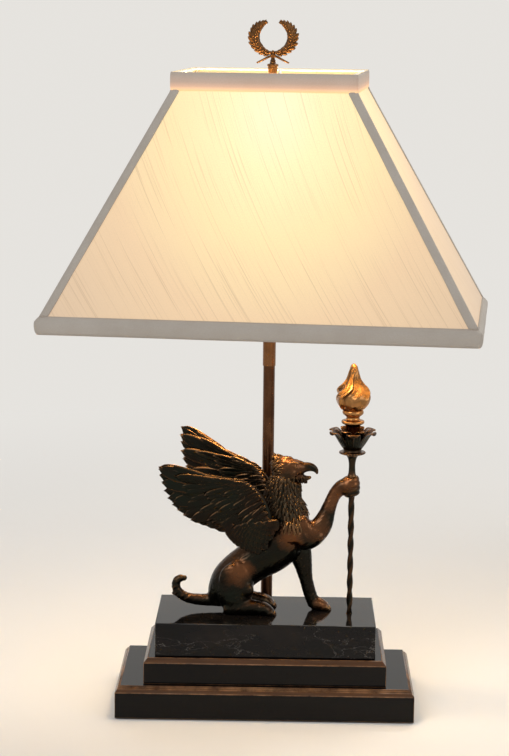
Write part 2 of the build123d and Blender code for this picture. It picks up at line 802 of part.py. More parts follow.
def torch_cup():
    """The leaf cup: a flared bowl cut into petals whose tips curl outwards."""
    z = torch_collar_z() + collar_height
    h, t = cup_height, cup_wall
    outer = [(0, 0), (cup_base_radius, 0), (cup_waist_radius * 0.86, h * 0.35), (cup_waist_radius, h * 0.66),
             (cup_waist_radius + 3, h * 0.86), (cup_lip_radius, h * 0.95)]
    inner = [(cup_lip_radius, h), (cup_waist_radius + 1.6, h * 0.86 + t), (cup_waist_radius - t, h * 0.68),
             (cup_waist_radius * 0.86 - t, h * 0.37), (cup_base_radius - t, t * 1.5), (0, t * 1.5)]
    bowl = turned(outer + inner, z)
    for petal in range(petal_count):
        angle = 360 / petal_count * (petal + 0.5)
        notch = Rot(0, 90, 0) * Cylinder(h * 0.42, 2 * cup_wall + 16)
        bowl -= Rot(0, 0, angle) * Pos(cup_lip_radius + 1.0, 0, z + h + 1.0) * notch
    seat = cylinder(flame_neck_radius, cup_height, z=z)
    return Pos(torch_x, torch_y, 0) * (bowl + seat)


def flame():
    """The flame finial: a turned foot and a bulb of tongues that twist together into one tip."""
    z = torch_collar_z() + collar_height + cup_height
    r, n, h = flame_collar_radius, flame_neck_radius, flame_neck_height
    foot = turned([(0, 0), (r * 0.9, 0), (r, h * 0.12), (r * 0.9, h * 0.25), (n, h * 0.32), (n, h * 0.55),
                   (r * 0.92, h * 0.7), (r * 0.92, h * 0.85), (r * 0.7, h), (0, h)], z)
    outline = [(0.0, 0.52), (0.13, 0.86), (0.3, 1.0), (0.46, 0.9), (0.6, 0.66), (0.72, 0.4), (0.85, 0.27)]
    outline.append((1.0, 0.1))
    faces = []
    for share, swell in outline:
        ring = []
        for i in range(4 * flame_tongues):
            a = 2 * pi * i / (4 * flame_tongues)
            lobe = 1 + flame_tongue_depth * cos(flame_tongues * a)
            turn = a + radians(flame_twist) * share
            ring.append((flame_radius * swell * lobe * cos(turn), flame_radius * swell * lobe * sin(turn)))
        face = make_face(Spline(*ring, periodic=True))
        faces.append(Pos(0, 0, z + h + flame_height * share) * face)
    return Pos(torch_x, torch_y, 0) * (foot + loft(faces))


# ---------------------------------------------------------------- griffin
def limb(sections, y=0.0):
    """A rounded limb through oval sections. Each is (x, height over the marble, thickness radius,
    sideways radius) with an optional sideways shift. Every oval is square to the limb's line."""
    faces = []
    for i, section in enumerate(sections):
        before, after = sections[max(i - 1, 0)], sections[min(i + 1, len(sections) - 1)]
        along = Vector(after[0] - before[0], 0, after[1] - before[1])
        shift = section[4] if len(section) > 4 else 0.0
        plane = Plane(origin=(section[0], y + shift, deck_z + section[1]), x_dir=(0, 1, 0), z_dir=along)
        faces.append(plane * Ellipse(section[3], section[2]))
    return loft(faces)


def ball(x, height, y, rx, rz, ry):
    return Pos(x, y, deck_z + height) * scale(Sphere(1), by=(rx, ry, rz))


def torso():
    """The body from the rump to the back of the head, and a fuller throat under the beak."""
    body = limb([(-54, 8, 9, 11), (-47, 22, 18, 18), (-31, 42, 22, 20), (-12, 57, 23, 19), (8, 72, 26, 21),
                 (19, 90, 25.5, 21), (20, 109, 23.5, 18.5), (16, 127, 19, 15.5), (15.5, 141, 15.5, 13),
                 (19, 154, 10.5, 9.5)], base_y)
    return body + limb([(24, 118, 15, 10), (25, 132, 11.5, 9.5), (27.5, 145, 8.5, 8)], base_y)


def head():
    """The eagle's head with a hooked upper beak, an open lower jaw and two ears."""
    skull = limb([(5, 160, 6, 5), (11, 161, 10.5, 9), (21, 159.5, 12, 10.5), (31, 160, 10, 9),
                  (38.5, 160.5, 7, 6)], base_y)
    skull += limb([(37, 160.5, 7, 5.8), (44, 161.5, 5.2, 4.4), (50, 160, 4, 3), (53.2, 156.3, 2.4, 1.8),
                   (53.4, 153, 0.9, 0.8)], base_y)
    skull += limb([(29, 152, 7, 6), (37, 149.5, 4.2, 4.4), (43, 149, 2.8, 3.2),
                   (47.5, 150.6, 1.3, 1.8)], base_y)
    for side in (-1, 1):
        skull += limb([(13, 166, 3.6, 3), (9.5, 170, 2.8, 2.2), (6.5, 174.5, 0.8, 0.8)], base_y + side * 6.0)
        skull += ball(27, 163.5, base_y + side * 7.6, 3.4, 2.6, 2.2)
    return skull


def paw(x, y, reach):
    """A lion's paw flat on the marble: a rounded pad with four toes at its front."""
    pad = limb([(x - reach, 6.5, 5, 6), (x - reach * 0.3, 6.6, 8.2, 8.6), (x + 5, 5, 6.6, 8),
                (x + 9.5, 3.6, 4.2, 6)], y)
    for toe in range(4):
        across = (toe - 1.5) * 4.1
        pad += ball(x + 8.5 - abs(toe - 1.5) * 0.9, 3.2, y + across, 5.0, 4.2, 2.5)
    return pad


def hind_leg(side):
    """A folded hind leg: the round thigh and the long foot flat on the marble."""
    y = base_y + side * 13.0
    leg = limb([(-24, 57, 9, 5), (-28, 49, 15, 8.5), (-32, 38, 19, 10.5), (-34, 26, 20, 11.5),
                (-33, 13, 17, 11.5), (-30, 0, 12, 10)], y)
    leg += limb([(-46, 6.5, 6, 6), (-36, 7, 9, 8), (-22, 7.5, 9.6, 8.4), (-6, 6.8, 8.0, 7.6)], y + side * 3.5)
    return leg + paw(-3, y + side * 3.5, 9)


def planted_foreleg():
    leg = limb([(30, 78, 14, 9), (37, 62, 12.5, 9), (41.5, 44, 8.8, 7.6), (45, 28, 7.2, 6.6),
                (50, 13, 7, 6.8), (53, 5, 7, 7)], paw_y)
    return leg + paw(57, paw_y, 8)


def raised_foreleg():
    """The near foreleg, bent at the elbow and reaching up to the torch."""
    shoulder = base_y - 13.0 - torch_y
    line = [(20, 97, 18, 8, shoulder), (38, 92, 19, 9.8, shoulder), (52, 92, 14.5, 9.8, shoulder * 0.8),
            (60.5, 101.5, 11, 8.6, shoulder * 0.5), (66.5, 117, 8, 7, shoulder * 0.2),
            (71.5, 130, 7.1, 6.4, 0), (torch_x - 12.5, grip_height - 2.5, 8, 7, 0),
            (torch_x - 5, grip_height, 9, 7.6, 0)]
    return limb(line, torch_y)


def fist():
    """The forepaw closed round the torch: a palm and four fingers that wrap the stem."""
    hand = ball(torch_x - 3.0, grip_height, torch_y, grip_radius + 1.4, grip_radius + 3.0, grip_radius)
    for finger in range(4):
        height = deck_z + grip_height + (finger - 1.5) * finger_pitch
        tilted = Pos(torch_x + 0.5, torch_y, height) * Rot(0, -14, 0)
        hand += tilted * Torus(grip_radius - finger_radius, finger_radius)
    return hand


def tail():
    return limb([(-48, 12, 8, 8), (-60, 11, 7, 7), (-72, 11, 6.4, 6.2), (-84, 12.5, 5.8, 5.4),
                 (-93.5, 17, 5.4, 5), (-98.6, 24.5, 4.9, 4.6), (-98, 31.5, 4.4, 4.2), (-94, 35, 3.9, 3.8),
                 (-89.3, 34.6, 2.6, 2.6)], base_y)


def griffin_body():
    """The bronze casting without its wings: flat under its feet, drilled for the bolts and the torch."""
    figure = torso() + head() + tail()
    for side in (-1, 1):
        figure += hind_leg(side)
    figure += planted_foreleg()
    figure += raised_foreleg()
    figure += fist()
    figure -= block(400, 200, 60, y=base_y, z=deck_z - 60)
    grip_bore = stem_radius + stem_twist_depth + slip_fit
    figure -= cylinder(grip_bore, 60, torch_x, torch_y, deck_z + grip_height - 30)
    for x, y in bolt_places():
        figure -= cylinder(bolt_radius + slip_fit, bolt_bite + slip_fit, x, y, deck_z)
    return figure - set_near(wing_boss(slip_fit)) - set_far(wing_boss(slip_fit))


def feather(root, tip, width, thickness, out):
    """One feather blade in the wing's plane, widest past its middle, with a blunt pointed tip."""
    (x0, z0), (x1, z1) = root, tip
    length = ((x1 - x0) ** 2 + (z1 - z0) ** 2) ** 0.5
    w = width / 2
    shoulder = length - w * 1.5
    edge = [
        Line((0, -w * 0.45), (0, w * 0.45)),
        ThreePointArc((0, w * 0.45), (shoulder * 0.55, w * 1.02), (shoulder, w * 0.82)),
        ThreePointArc((shoulder, w * 0.82), (length - w * 0.48, w * 0.5), (length, 0)),
        ThreePointArc((length, 0), (length - w * 0.6, -w * 0.62), (shoulder, -w * 0.86)),
        ThreePointArc((shoulder, -w * 0.86), (shoulder * 0.55, -w), (0, -w * 0.45)),
    ]
    heading = degrees(atan2(z1 - z0, x1 - x0))
    blade = Plane.XZ * Pos(x0, z0) * Rot(0, 0, heading) * make_face(edge)
    return Pos(0, -out, 0) * extrude(blade, thickness)


def along(a, b, c, t):
    """A point at t on the curve from a to c that bends towards b."""
    return tuple((1 - t) ** 2 * p + 2 * t * (1 - t) * q + t * t * s for p, q, s in zip(a, b, c))


def wing_blades():
    """The near wing in its own plane: primaries, a shorter row of coverts over them, and scales
    on the shoulder, each lapping a little over the one before it. Places are (x, height over the
    marble)."""
    blades = []
    for i in range(primary_count):
        t = i / (primary_count - 1)
        root = along((-50, 147), (-30, 140), (-14, 116), t)
        tip = along((-119, 168), (-113, 117), (-56, 101), t)
        blades.append(feather(root, tip, primary_width, feather_thickness, feather_lap * i))
    for i in range(covert_count):
        t = i / (covert_count - 1)
        root = along((-34, 148), (-16, 146), (-2, 118), t)
        tip = along((-84, 156), (-72, 118), (-36, 100), t)
        out = feather_thickness * 0.6 + feather_lap * i
        blades.append(feather(root, tip, covert_width, feather_thickness, out))
    for row in range(scale_rows):
        for i in range(scales_per_row):
            t = i / (scales_per_row - 1)
            lower, middle = (-43 + 9 * row, 94 - row), (-34 + 8 * row, 76 + 4 * row)
            tip = along(lower, middle, (-4 + 4 * row, 72 + 6 * row), t)
            root = (tip[0] + scale_length * 0.6, tip[1] + scale_length * 0.75)
            out = feather_thickness * 0.7 * (row + 1) + feather_lap * i
            blades.append(feather(root, tip, covert_width, feather_thickness, out))
    return blades


@cache
def wing():
    """One wing before it is set on its shoulder: the blades fused to the arm bone."""
    arm = limb([(1, 90, 6, 3.4), (-1, 112, 6.6, 3.8), (-8, 132, 5.8, 3.6), (-23, 144.5, 4.6, 3.4),
                (-50, 148.5, 3.8, 3.2), (-98, 165, 2.6, 2.6)])
    arm = Pos(0, -feather_thickness - wing_arm_standoff, 0) * arm
    pieces = [Pos(0, 0, deck_z) * blade for blade in wing_blades()]
    return arm + pieces + wing_boss(0.0)


def wing_boss(slack):
    """The round spigot on the wing's inner face that plugs into the shoulder."""
    start = Pos(wing_boss_x, -feather_thickness, deck_z + wing_boss_height) * Rot(-90, 0, 0)
    length = feather_thickness + wing_boss_depth + slack
    return start * Cylinder(wing_boss_radius + slack, length, align=(Align.CENTER, Align.CENTER, Align.MIN))


def set_near(shape):
    return Pos(0, base_y - wing_seat, 0) * Rot(0, 0, wing_splay) * shape


def set_far(shape):
    """The far side: mirrored, and raised a little about the boss."""
    centre = Pos(wing_boss_x, 0, deck_z + wing_boss_height)
    lifted = centre * Rot(0, far_wing_lift, 0) * centre.inverse() * mirror(shape, about=Plane.XZ)
    return Pos(0, base_y + wing_seat, 0) * Rot(0, 0, -wing_splay) * lifted


def near_wing():
    return set_near(wing())


def far_wing():
    return set_far(wing())


NODES = {
    "felt_pad": felt_pad, "plinth": plinth, "riser": riser, "marble_block": marble_block,
    "tier_screws": tier_screws, "figure_bolts": figure_bolts, "cord_grommet": cord_grommet,
    "lamp_pipe": lamp_pipe, "pipe_washer": pipe_washer, "spring_washer": spring_washer, "pipe_nut": pipe_nut,
    "pole": pole, "neck_sleeve": neck_sleeve,
    "griffin_body": griffin_body, "near_wing": near_wing, "far_wing": far_wing,
    "torch_stem": torch_stem, "torch_collar": torch_collar, "torch_cup": torch_cup, "torch_flame": flame,
    "harp_saddle": harp_saddle, "harp": harp, "harp_stud": harp_stud,
    "left_ferrule": lambda: ferrule(-1), "right_ferrule": lambda: ferrule(1),
    "socket_cap": socket_cap, "socket_shell": socket_shell, "insulating_sleeve": insulating_sleeve,
    "socket_core": socket_core, "terminal_screws": terminal_screws, "thread_shell": thread_shell,
    "centre_contact": centre_contact, "switch_key": switch_key,
    "bulb_base": bulb_base, "bulb_contact": bulb_contact, "bulb_glass": bulb_glass, "bulb_mount": bulb_mount,
    "shade_cover": shade_cover, "shade_lining": shade_lining, "shade_fitter": shade_fitter,
    "shade_frame": shade_frame,
    "top_trim": top_trim, "bottom_trim": bottom_trim, "corner_trims": corner_trims,
    "finial_nut": finial_nut, "wreath": wreath,
}

os.makedirs("parts", exist_ok=True)
for node, make in NODES.items():
    export_step(make(), f"parts/{node}.step")
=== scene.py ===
import random
from math import atan2, cos, exp, hypot, pi, radians, sin

import bmesh
import bpy
from mathutils import Matrix, Vector, noise


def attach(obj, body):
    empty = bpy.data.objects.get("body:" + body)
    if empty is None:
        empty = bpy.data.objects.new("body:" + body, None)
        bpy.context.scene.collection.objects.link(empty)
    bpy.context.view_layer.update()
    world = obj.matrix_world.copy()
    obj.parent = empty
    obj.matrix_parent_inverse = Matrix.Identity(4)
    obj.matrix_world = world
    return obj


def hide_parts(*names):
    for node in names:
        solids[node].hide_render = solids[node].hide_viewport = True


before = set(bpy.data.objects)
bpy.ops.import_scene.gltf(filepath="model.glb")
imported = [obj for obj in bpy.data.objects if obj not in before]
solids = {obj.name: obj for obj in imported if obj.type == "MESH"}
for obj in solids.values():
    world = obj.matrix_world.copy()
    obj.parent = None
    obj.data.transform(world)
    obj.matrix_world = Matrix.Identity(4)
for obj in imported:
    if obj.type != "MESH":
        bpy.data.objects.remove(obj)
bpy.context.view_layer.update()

scene = bpy.context.scene
scene.view_settings.view_transform = "Standard"


def put(socket, value):
    # links another socket, or sets a plain value; a colour comes without its alpha
    if isinstance(value, bpy.types.NodeSocket):
        socket.id_data.links.new(value, socket)
    else:
        socket.default_value = (*value, 1) if socket.type == "RGBA" else value


class Nodes:
    # short ways to add nodes to one tree; most give back the socket that is wanted

    def __init__(self, tree):
        self.tree = tree

    def add(self, kind, inputs=None, **settings):
        node = self.tree.nodes.new(kind if "Node" in kind else "ShaderNode" + kind)
        for key, value in settings.items():
            setattr(node, key, value)
        for key, value in (inputs or {}).items():
            put(node.inputs[key], value)
        return node

    def coords(self, scale=(1, 1, 1), turn=(0, 0, 0)):
        place = self.add("TexCoord").outputs["Object"]
        return self.add("Mapping", {"Vector": place, "Scale": scale, "Rotation": turn}).outputs[0]

    def uv(self):
        return self.add("UVMap", uv_map="cloth").outputs[0]

    def part(self, vector, axis):
        return self.add("SeparateXYZ", {0: vector}).outputs[axis]

    def up(self):
        return self.part(self.add("NewGeometry").outputs["Normal"], 2)

    def noise(self, vector, scale, detail=2, roughness=0.5, output=0):
        values = {"Vector": vector, "Scale": scale, "Detail": detail, "Roughness": roughness}
        return self.add("TexNoise", values).outputs[output]

    def math(self, operation, first, second=0, clamp=False):
        return self.add("Math", {0: first, 1: second}, operation=operation, use_clamp=clamp).outputs[0]

    def plus(self, first, second):
        return self.math("ADD", first, second)

    def minus(self, first, second):
        return self.math("SUBTRACT", first, second, True)      # never below 0

    def times(self, first, second, clamp=False):
        return self.math("MULTIPLY", first, second, clamp)

    def larger(self, first, second):
        return self.math("MAXIMUM", first, second)

    def vectorMath(self, operation, first, second=(0, 0, 0), output=0):
        return self.add("VectorMath", {0: first, 1: second}, operation=operation).outputs[output]

    def span(self, value, low, high, outLow=0, outHigh=1, **settings):
        ends = {"From Min": low, "From Max": high, "To Min": outLow, "To Max": outHigh}
        return self.add("MapRange", {"Value": value, **ends}, **settings).outputs["Result"]

    def mix(self, factor, first, second, blend="MIX"):
        return self.add("Mix", {0: factor, 6: first, 7: second}, data_type="RGBA", blend_type=blend).outputs[2]

    def ramp(self, factor, stops):
        node = self.add("ValToRGB", {"Fac": factor})
        elements = node.color_ramp.elements
        while len(elements) < len(stops):
            elements.new(0.5)
        for element, (place, colour) in zip(elements, stops):
            element.position = place
            element.color = (*colour, 1)
        return node.outputs["Color"]

    def use(self, name, *values):
        # the group's inputs in their own order; mottle and proudEdge take vector, scale, low and high
        return self.add("Group", dict(enumerate(values)), node_tree=groups[name]).outputs

    def mask(self, name, *values):
        return self.use(name, *values)["Mask"]


class Finish(Nodes):
    # a material and the nodes that feed its shader
    sockets = {"colour": "Base Color", "roughness": "Roughness", "metallic": "Metallic", "coat": "Coat Weight",
               "coatRoughness": "Coat Roughness", "sheen": "Sheen Weight", "emission": "Emission Color",
               "emissionStrength": "Emission Strength", "specular": "Specular IOR Level", "normal": "Normal"}

    def __init__(self, name):
        self.material = bpy.data.materials.new(name)
        self.material.use_nodes = True
        super().__init__(self.material.node_tree)

    def done(self, relief=None, **values):
        # relief is a height with its strength and distance
        if relief:
            values["normal"] = self.add("Bump", dict(zip(("Height", "Strength", "Distance"), relief))).outputs[0]
        shader = next(node for node in self.tree.nodes if node.type == "BSDF_PRINCIPLED")
        for key, value in values.items():
            put(shader.inputs[self.sockets[key]], value)
        return self.material


def newTree(name, family, inputs, outputs):
    # inputs are label: (socket kind, value or None), outputs are label: socket kind
    tree = bpy.data.node_groups.new(name, family + "NodeTree")
    for label, (kind, value) in inputs.items():
        socket = tree.interface.new_socket(label, in_out="INPUT", socket_type="NodeSocket" + kind)
        if value is not None:
            socket.default_value = value
    for label, kind in outputs.items():
        tree.interface.new_socket(label, in_out="OUTPUT", socket_type="NodeSocket" + kind)
    n = Nodes(tree)
    return n, n.add("NodeGroupInput").outputs, n.add("NodeGroupOutput").inputs


groups = {}


def newGroup(name, outputs=("Mask",), **inputs):
    # a shader group shared by the finishes; an input without a value is a vector
    kinds = {label: ("Vector" if value is None else "Float", value) for label, value in inputs.items()}
    kinds = {"Vector": ("Vector", None), **kinds}
    n, given, out = newTree(name, "Shader", kinds, {label: "Float" for label in outputs})
    groups[name] = n.tree
    return n, given, out


def makeMottle():
    # soft uneven patches
    n, given, out = newGroup("mottle", Scale=40, Low=0.4, High=0.6)
    put(out["Mask"], n.span(n.noise(given["Vector"], given["Scale"], 6, 0.62), given["Low"], given["High"]))


def makeProudEdge():
    # high where the surface is proud, broken up by noise
    n, given, out = newGroup("proudEdge", Scale=120, Low=0.5, High=0.56)
    shift = n.span(n.noise(given["Vector"], given["Scale"], 4), 0.3, 0.7, -0.009, 0.009)
    proud = n.plus(n.add("NewGeometry").outputs["Pointiness"], shift)
    put(out["Mask"], n.span(proud, given["Low"], given["High"]))


def makeWeave():
    # plain weave from two crossed waves, with uneven yarn
    n, given, out = newGroup("weave", outputs=("Height", "Tone"), Threads=2400)
    turns = [n.times(n.part(given["Vector"], axis), given["Threads"]) for axis in (0, 1)]
    height = n.larger(*(n.math("ABSOLUTE", n.math("SINE", turn)) for turn in turns))
    put(out["Height"], height)
    put(out["Tone"], n.times(n.plus(height, 1.2), n.noise(given["Vector"], 700, 3)))


def makeToplitFace():
    # faces that look up: the mask for painted light from above
    n, given, out = newGroup("toplitFace", Low=0.1, High=0.9)
    patches = n.span(n.noise(given["Vector"], 45, 5), 0.3, 0.7, -0.16, 0.16)
    put(out["Mask"], n.span(n.plus(n.up(), patches), given["Low"], given["High"]))


def makeHighlightSpot():
    # a soft painted highlight round one place
    n, given, out = newGroup("highlightSpot", Centre=None, Reach=0.02)
    share = n.math("DIVIDE", n.vectorMath("DISTANCE", given["Vector"], given["Centre"], 1), given["Reach"])
    cloud = n.span(n.noise(given["Vector"], 60, 4), 0.3, 0.7, -0.2, 0.2)
    put(out["Mask"], n.span(n.plus(share, cloud), 0.35, 1, 1, 0))


for makeGroup in (makeMottle, makeProudEdge, makeWeave, makeToplitFace, makeHighlightSpot):
    makeGroup()


def ebonisedWood():
    # black stained wood under gloss lacquer; the slopes carry a painted warm reflection in brown, and the eased edges a
    # brown that is partly worn bare wood and partly painted highlight
    n = Finish("ebonisedWood")
    plain, up = n.coords(), n.up()
    grain = n.noise(n.coords(scale=(6, 90, 90)), 3, 8, 0.6)
    colour = n.mix(n.span(grain, 0.42, 0.7), (0.0026, 0.0021, 0.002), (0.0056, 0.004, 0.0032))
    # painted reflection: faces that slope upwards turn brown as if they caught warm light
    slope = n.times(n.span(up, 0.25, 0.5), n.span(up, 0.8, 0.97, 1, 0))
    colour = n.mix(n.times(slope, n.span(grain, 0.3, 0.7, 0.55, 1)), colour, (0.075, 0.035, 0.016))
    # the eased edges turn brown: partly worn bare wood, partly a painted highlight
    edge = n.add("Attribute", attribute_name="wearAndGlint").outputs["Fac"]
    wearAndGlintPatches = n.mask("mottle", plain, 60, 0.3, 0.62)
    colour = n.mix(n.times(edge, wearAndGlintPatches), colour, (0.2, 0.1, 0.045))
    smears = n.mask("mottle", plain, 14, 0.35, 0.75)
    return n.done(colour=colour, roughness=n.span(smears, 0, 1, 0.14, 0.26), coat=0.1, coatRoughness=0.06,
                  specular=0.12, relief=(grain, 0.06, 0.0006))


def blackMarble():
    # polished black stone with a few fine pale veins
    n = Finish("blackMarble")
    coords = n.coords(scale=(0.7, 1.1, 1.7), turn=(0.4, 0.55, 0.5))
    moved = n.mix(0.1, coords, n.noise(coords, 16, 6, 0.6, output=1), "LINEAR_LIGHT")
    veins = 0
    for scale, width, gate in ((15, 0.008, 0.52), (31, 0.008, 0.55), (62, 0.009, 0.58)):
        cells = n.add("TexVoronoi", {"Vector": moved, "Scale": scale}, feature="DISTANCE_TO_EDGE")
        line = n.span(cells.outputs["Distance"], 0, width, 1, 0)
        where = n.mask("mottle", coords, scale * 0.6, gate, gate + 0.14)
        veins = n.larger(veins, n.times(line, where))
    clouds = n.mask("mottle", coords, 24, 0.4, 0.8)
    ground = n.mix(clouds, (0.004, 0.0036, 0.0034), (0.016, 0.0115, 0.009))
    return n.done(colour=n.mix(n.times(veins, 0.34), ground, (0.42, 0.38, 0.34)), coat=0.08, coatRoughness=0.04,
                  roughness=n.span(clouds, 0, 1, 0.06, 0.12), specular=0.16)


def greenFelt():
    n = Finish("greenFelt")
    fibres = n.noise(n.coords(), 1400, 4)
    return n.done(colour=n.mix(fibres, (0.008, 0.014, 0.009), (0.035, 0.05, 0.035)), roughness=0.95, sheen=0.4,
                  relief=(fibres, 0.5, 0.0006))


def brass(name, bright, dull, roughness, tarnish=0.5, brushed=0.25, along=(600, 600, 14), worn=0):
    # metal whose tone runs from bright to dull in patches; worn brings the bright up on the edges
    n = Finish(name)
    plain = n.coords()
    fine = n.noise(n.coords(scale=along), 1, 5)
    amount = n.times(n.mask("mottle", plain, 38, 0.38, 0.68), tarnish)
    if worn:
        proud = n.mask("proudEdge", plain, 220, 0.5, 0.57)
        hollow = n.mask("proudEdge", plain, 220, 0.44, 0.5)
        amount = n.minus(n.larger(amount, n.minus(0.9, hollow)), n.times(proud, worn))
    colour = n.mix(n.span(fine, 0.3, 0.7, 0, brushed), n.mix(amount, bright, dull), dull)
    rough = n.span(n.plus(amount, n.times(fine, 0.3)), 0, 0.9, roughness, roughness + 0.22)
    return n.done(colour=colour, metallic=1, roughness=rough, relief=(fine, 0.06, 0.0004))


def plainMetal(name, colour, dull, roughness):
    return brass(name, colour, dull, roughness, tarnish=0.35, brushed=0.35, along=(900, 900, 900))


bronzeValues = {
    "ground": (0.016, 0.0115, 0.0085), "green": (0.013, 0.0165, 0.012), "copper": (0.22, 0.085, 0.034),
    "glintGold": (0.66, 0.37, 0.14), "roughness": 0.26,
    # painted highlights on the figure: place and reach
    "highlightSpot": [(0.02, -0.039, 0.273, 0.03), (0.048, -0.05, 0.2, 0.024), (0.026, -0.064, 0.19, 0.02),
                (-0.03, -0.064, 0.152, 0.02), (0.07, -0.05, 0.232, 0.018), (0.09, -0.05, 0.25, 0.014),
                (0.062, -0.035, 0.108, 0.014)],
}


def bronze(name, rubAndShine=1, topLight=0.3, edges=(0.515, 0.6)):
    # dark patina; copper on what is proud, partly worn metal and partly painted highlight, and on faces that look up as
    # painted light from above; golden painted highlights on proud edges where that light falls
    n = Finish(name)
    plain = n.coords()
    patches = n.mask("mottle", plain, 30, 0.36, 0.7)
    proud = n.mask("proudEdge", plain, 120, edges[0], edges[1])
    upper = n.mask("toplitFace", plain, 0.2, 1.2)
    highlightSpot = 0
    for *place, reach in bronzeValues["highlightSpot"]:
        highlightSpot = n.larger(highlightSpot, n.mask("highlightSpot", plain, place, reach))
    # copper: on proud places partly worn metal and partly painted highlight, on upward faces and highlight spots
    # painted light
    copper = n.larger(n.times(proud, 0.6 * rubAndShine), n.times(upper, topLight))
    copper = n.larger(copper, n.times(highlightSpot, 0.5 * rubAndShine))
    colour = n.mix(copper, n.mix(patches, bronzeValues["ground"], bronzeValues["green"]), bronzeValues["copper"])
    # painted highlight: the golden colour on proud edges is strongest where light from above and the highlight spots
    # fall
    lit = n.plus(n.plus(n.times(highlightSpot, 0.5), n.times(upper, 0.4)), 0.08)
    colour = n.mix(n.times(n.times(proud, lit, clamp=True), rubAndShine), colour, bronzeValues["glintGold"])
    grit = n.noise(plain, 700, 4)
    rough = n.span(n.plus(patches, n.times(grit, 0.5)), 0, 1.4, bronzeValues["roughness"] + 0.06,
                   bronzeValues["roughness"] - 0.05)
    return n.done(colour=colour, metallic=1, roughness=rough, relief=(grit, 0.1, 0.0004))


def moulded(name, colour, roughness):
    n = Finish(name)
    coords = n.coords()
    tone = n.mask("mottle", coords, 90, 0.35, 0.75)
    lighter = tuple(min(1, c * 1.5 + 0.01) for c in colour)
    return n.done(colour=n.mix(tone, colour, lighter), roughness=n.span(tone, 0, 1, roughness, roughness + 0.15),
                  relief=(n.noise(coords, 1100, 3), 0.2, 0.0004))


silkValues = {
    "base": (0.4, 0.34, 0.25), "slub": (0.24, 0.18, 0.12), "threads": 5200, "glowStrength": 0.8,
    "glowCentre": (0.004, -0.062, 0.645), "glowReach": 0.3,        # the bulb's bright spot on the front panel
    "glow": [(0, (1, 0.96, 0.62)), (0.18, (1, 0.88, 0.42)), (0.36, (0.94, 0.71, 0.3)), (0.6, (0.7, 0.44, 0.22)),
             (1, (0.42, 0.265, 0.17))],
}


def glowFrom(n, reach, stops):
    # light that falls from the bulb outwards, stretched a little down the panel
    away = n.vectorMath("SUBTRACT", n.add("TexCoord").outputs["Object"], silkValues["glowCentre"])
    length = n.vectorMath("LENGTH", n.vectorMath("MULTIPLY", away, (1, 0.75, 0.8)), output=1)
    return n.ramp(n.math("DIVIDE", length, reach), stops)


def slubSilk():
    # slub silk lit from behind: thin darker slubs run down to the right
    n = Finish("slubSilk")
    uv = n.uv()
    height, tone = n.use("weave", uv, silkValues["threads"])
    streak = 0
    for across, along, low, high, share in ((560, 6, 0.6, 0.68, 1), (1250, 12, 0.58, 0.72, 0.6)):
        mapped = n.add("Mapping", {"Vector": uv, "Scale": (across, along, 1)}).outputs[0]
        streak = n.larger(streak, n.times(n.span(n.noise(mapped, 1), low, high), share))
    glow = glowFrom(n, silkValues["glowReach"], silkValues["glow"])
    glow = n.mix(n.times(streak, 0.27), glow, (0.2, 0.11, 0.05))
    glow = n.mix(n.span(tone, 0.4, 1.4, 0, 0.16), glow, (0.25, 0.16, 0.09))
    glow = n.mix(n.span(n.noise(n.coords(), 9, 3), 0.3, 0.7, 0, 0.1), glow, (0.5, 0.34, 0.2))
    colour = n.mix(n.times(streak, 0.3), silkValues["base"], silkValues["slub"])
    return n.done(colour=colour, roughness=0.62, sheen=0.15, emission=glow, emissionStrength=silkValues["glowStrength"],
                  relief=(n.plus(height, n.times(streak, 2)), 0.25, 0.0002))


def creamLining():
    # thin cream lining, bright from the bulb near the top
    n = Finish("creamLining")
    height, tone = n.use("weave", n.uv(), 4200)
    glow = glowFrom(n, 0.36, [(0, (1, 0.92, 0.62)), (0.5, (0.9, 0.66, 0.36)), (1, (0.5, 0.34, 0.2))])
    colour = n.mix(n.span(tone, 0.4, 1.4, 0, 0.3), (0.7, 0.64, 0.5), (0.5, 0.44, 0.34))
    return n.done(colour=colour, roughness=0.8, sheen=0.2, emission=glow, emissionStrength=0.7,
                  relief=(height, 0.3, 0.0002))


def twillTape(name, glowLow, glowHigh, strength):
    # off-white twill: warm where light leaks through its edge
    n = Finish(name)
    height, tone = n.use("weave", n.uv(), 4200)
    stains = n.mask("mottle", n.coords(), 22, 0.35, 0.75)
    colour = n.mix(stains, (0.34, 0.352, 0.33), (0.285, 0.292, 0.268))
    colour = n.mix(n.span(tone, 0.4, 1.4, 0, 0.35), colour, (0.23, 0.225, 0.195))
    glow = n.ramp(n.span(n.part(n.coords(), 2), glowLow, glowHigh),
                  [(0, (0.95, 0.5, 0.16)), (0.25, (0.5, 0.2, 0.07)), (0.5, (0.26, 0.1, 0.035)),
                   (1, (0.12, 0.05, 0.02))])
    return n.done(colour=colour, roughness=0.85, sheen=0.15, emission=glow, emissionStrength=strength,
                  relief=(height, 0.35, 0.0003))


def frostedGlass():
    n = Finish("frostedGlass")
    heat = n.ramp(n.span(n.part(n.coords(), 2), 0.505, 0.57),
                  [(0, (0.8, 0.4, 0.14)), (0.6, (1, 0.85, 0.5)), (1, (1, 0.95, 0.75))])
    frost = n.noise(n.coords(), 900)
    return n.done(colour=n.mix(frost, (0.95, 0.93, 0.88), (0.85, 0.82, 0.75)), roughness=0.35, emission=heat,
                  emissionStrength=1.6, relief=(frost, 0.1, 0.0003))


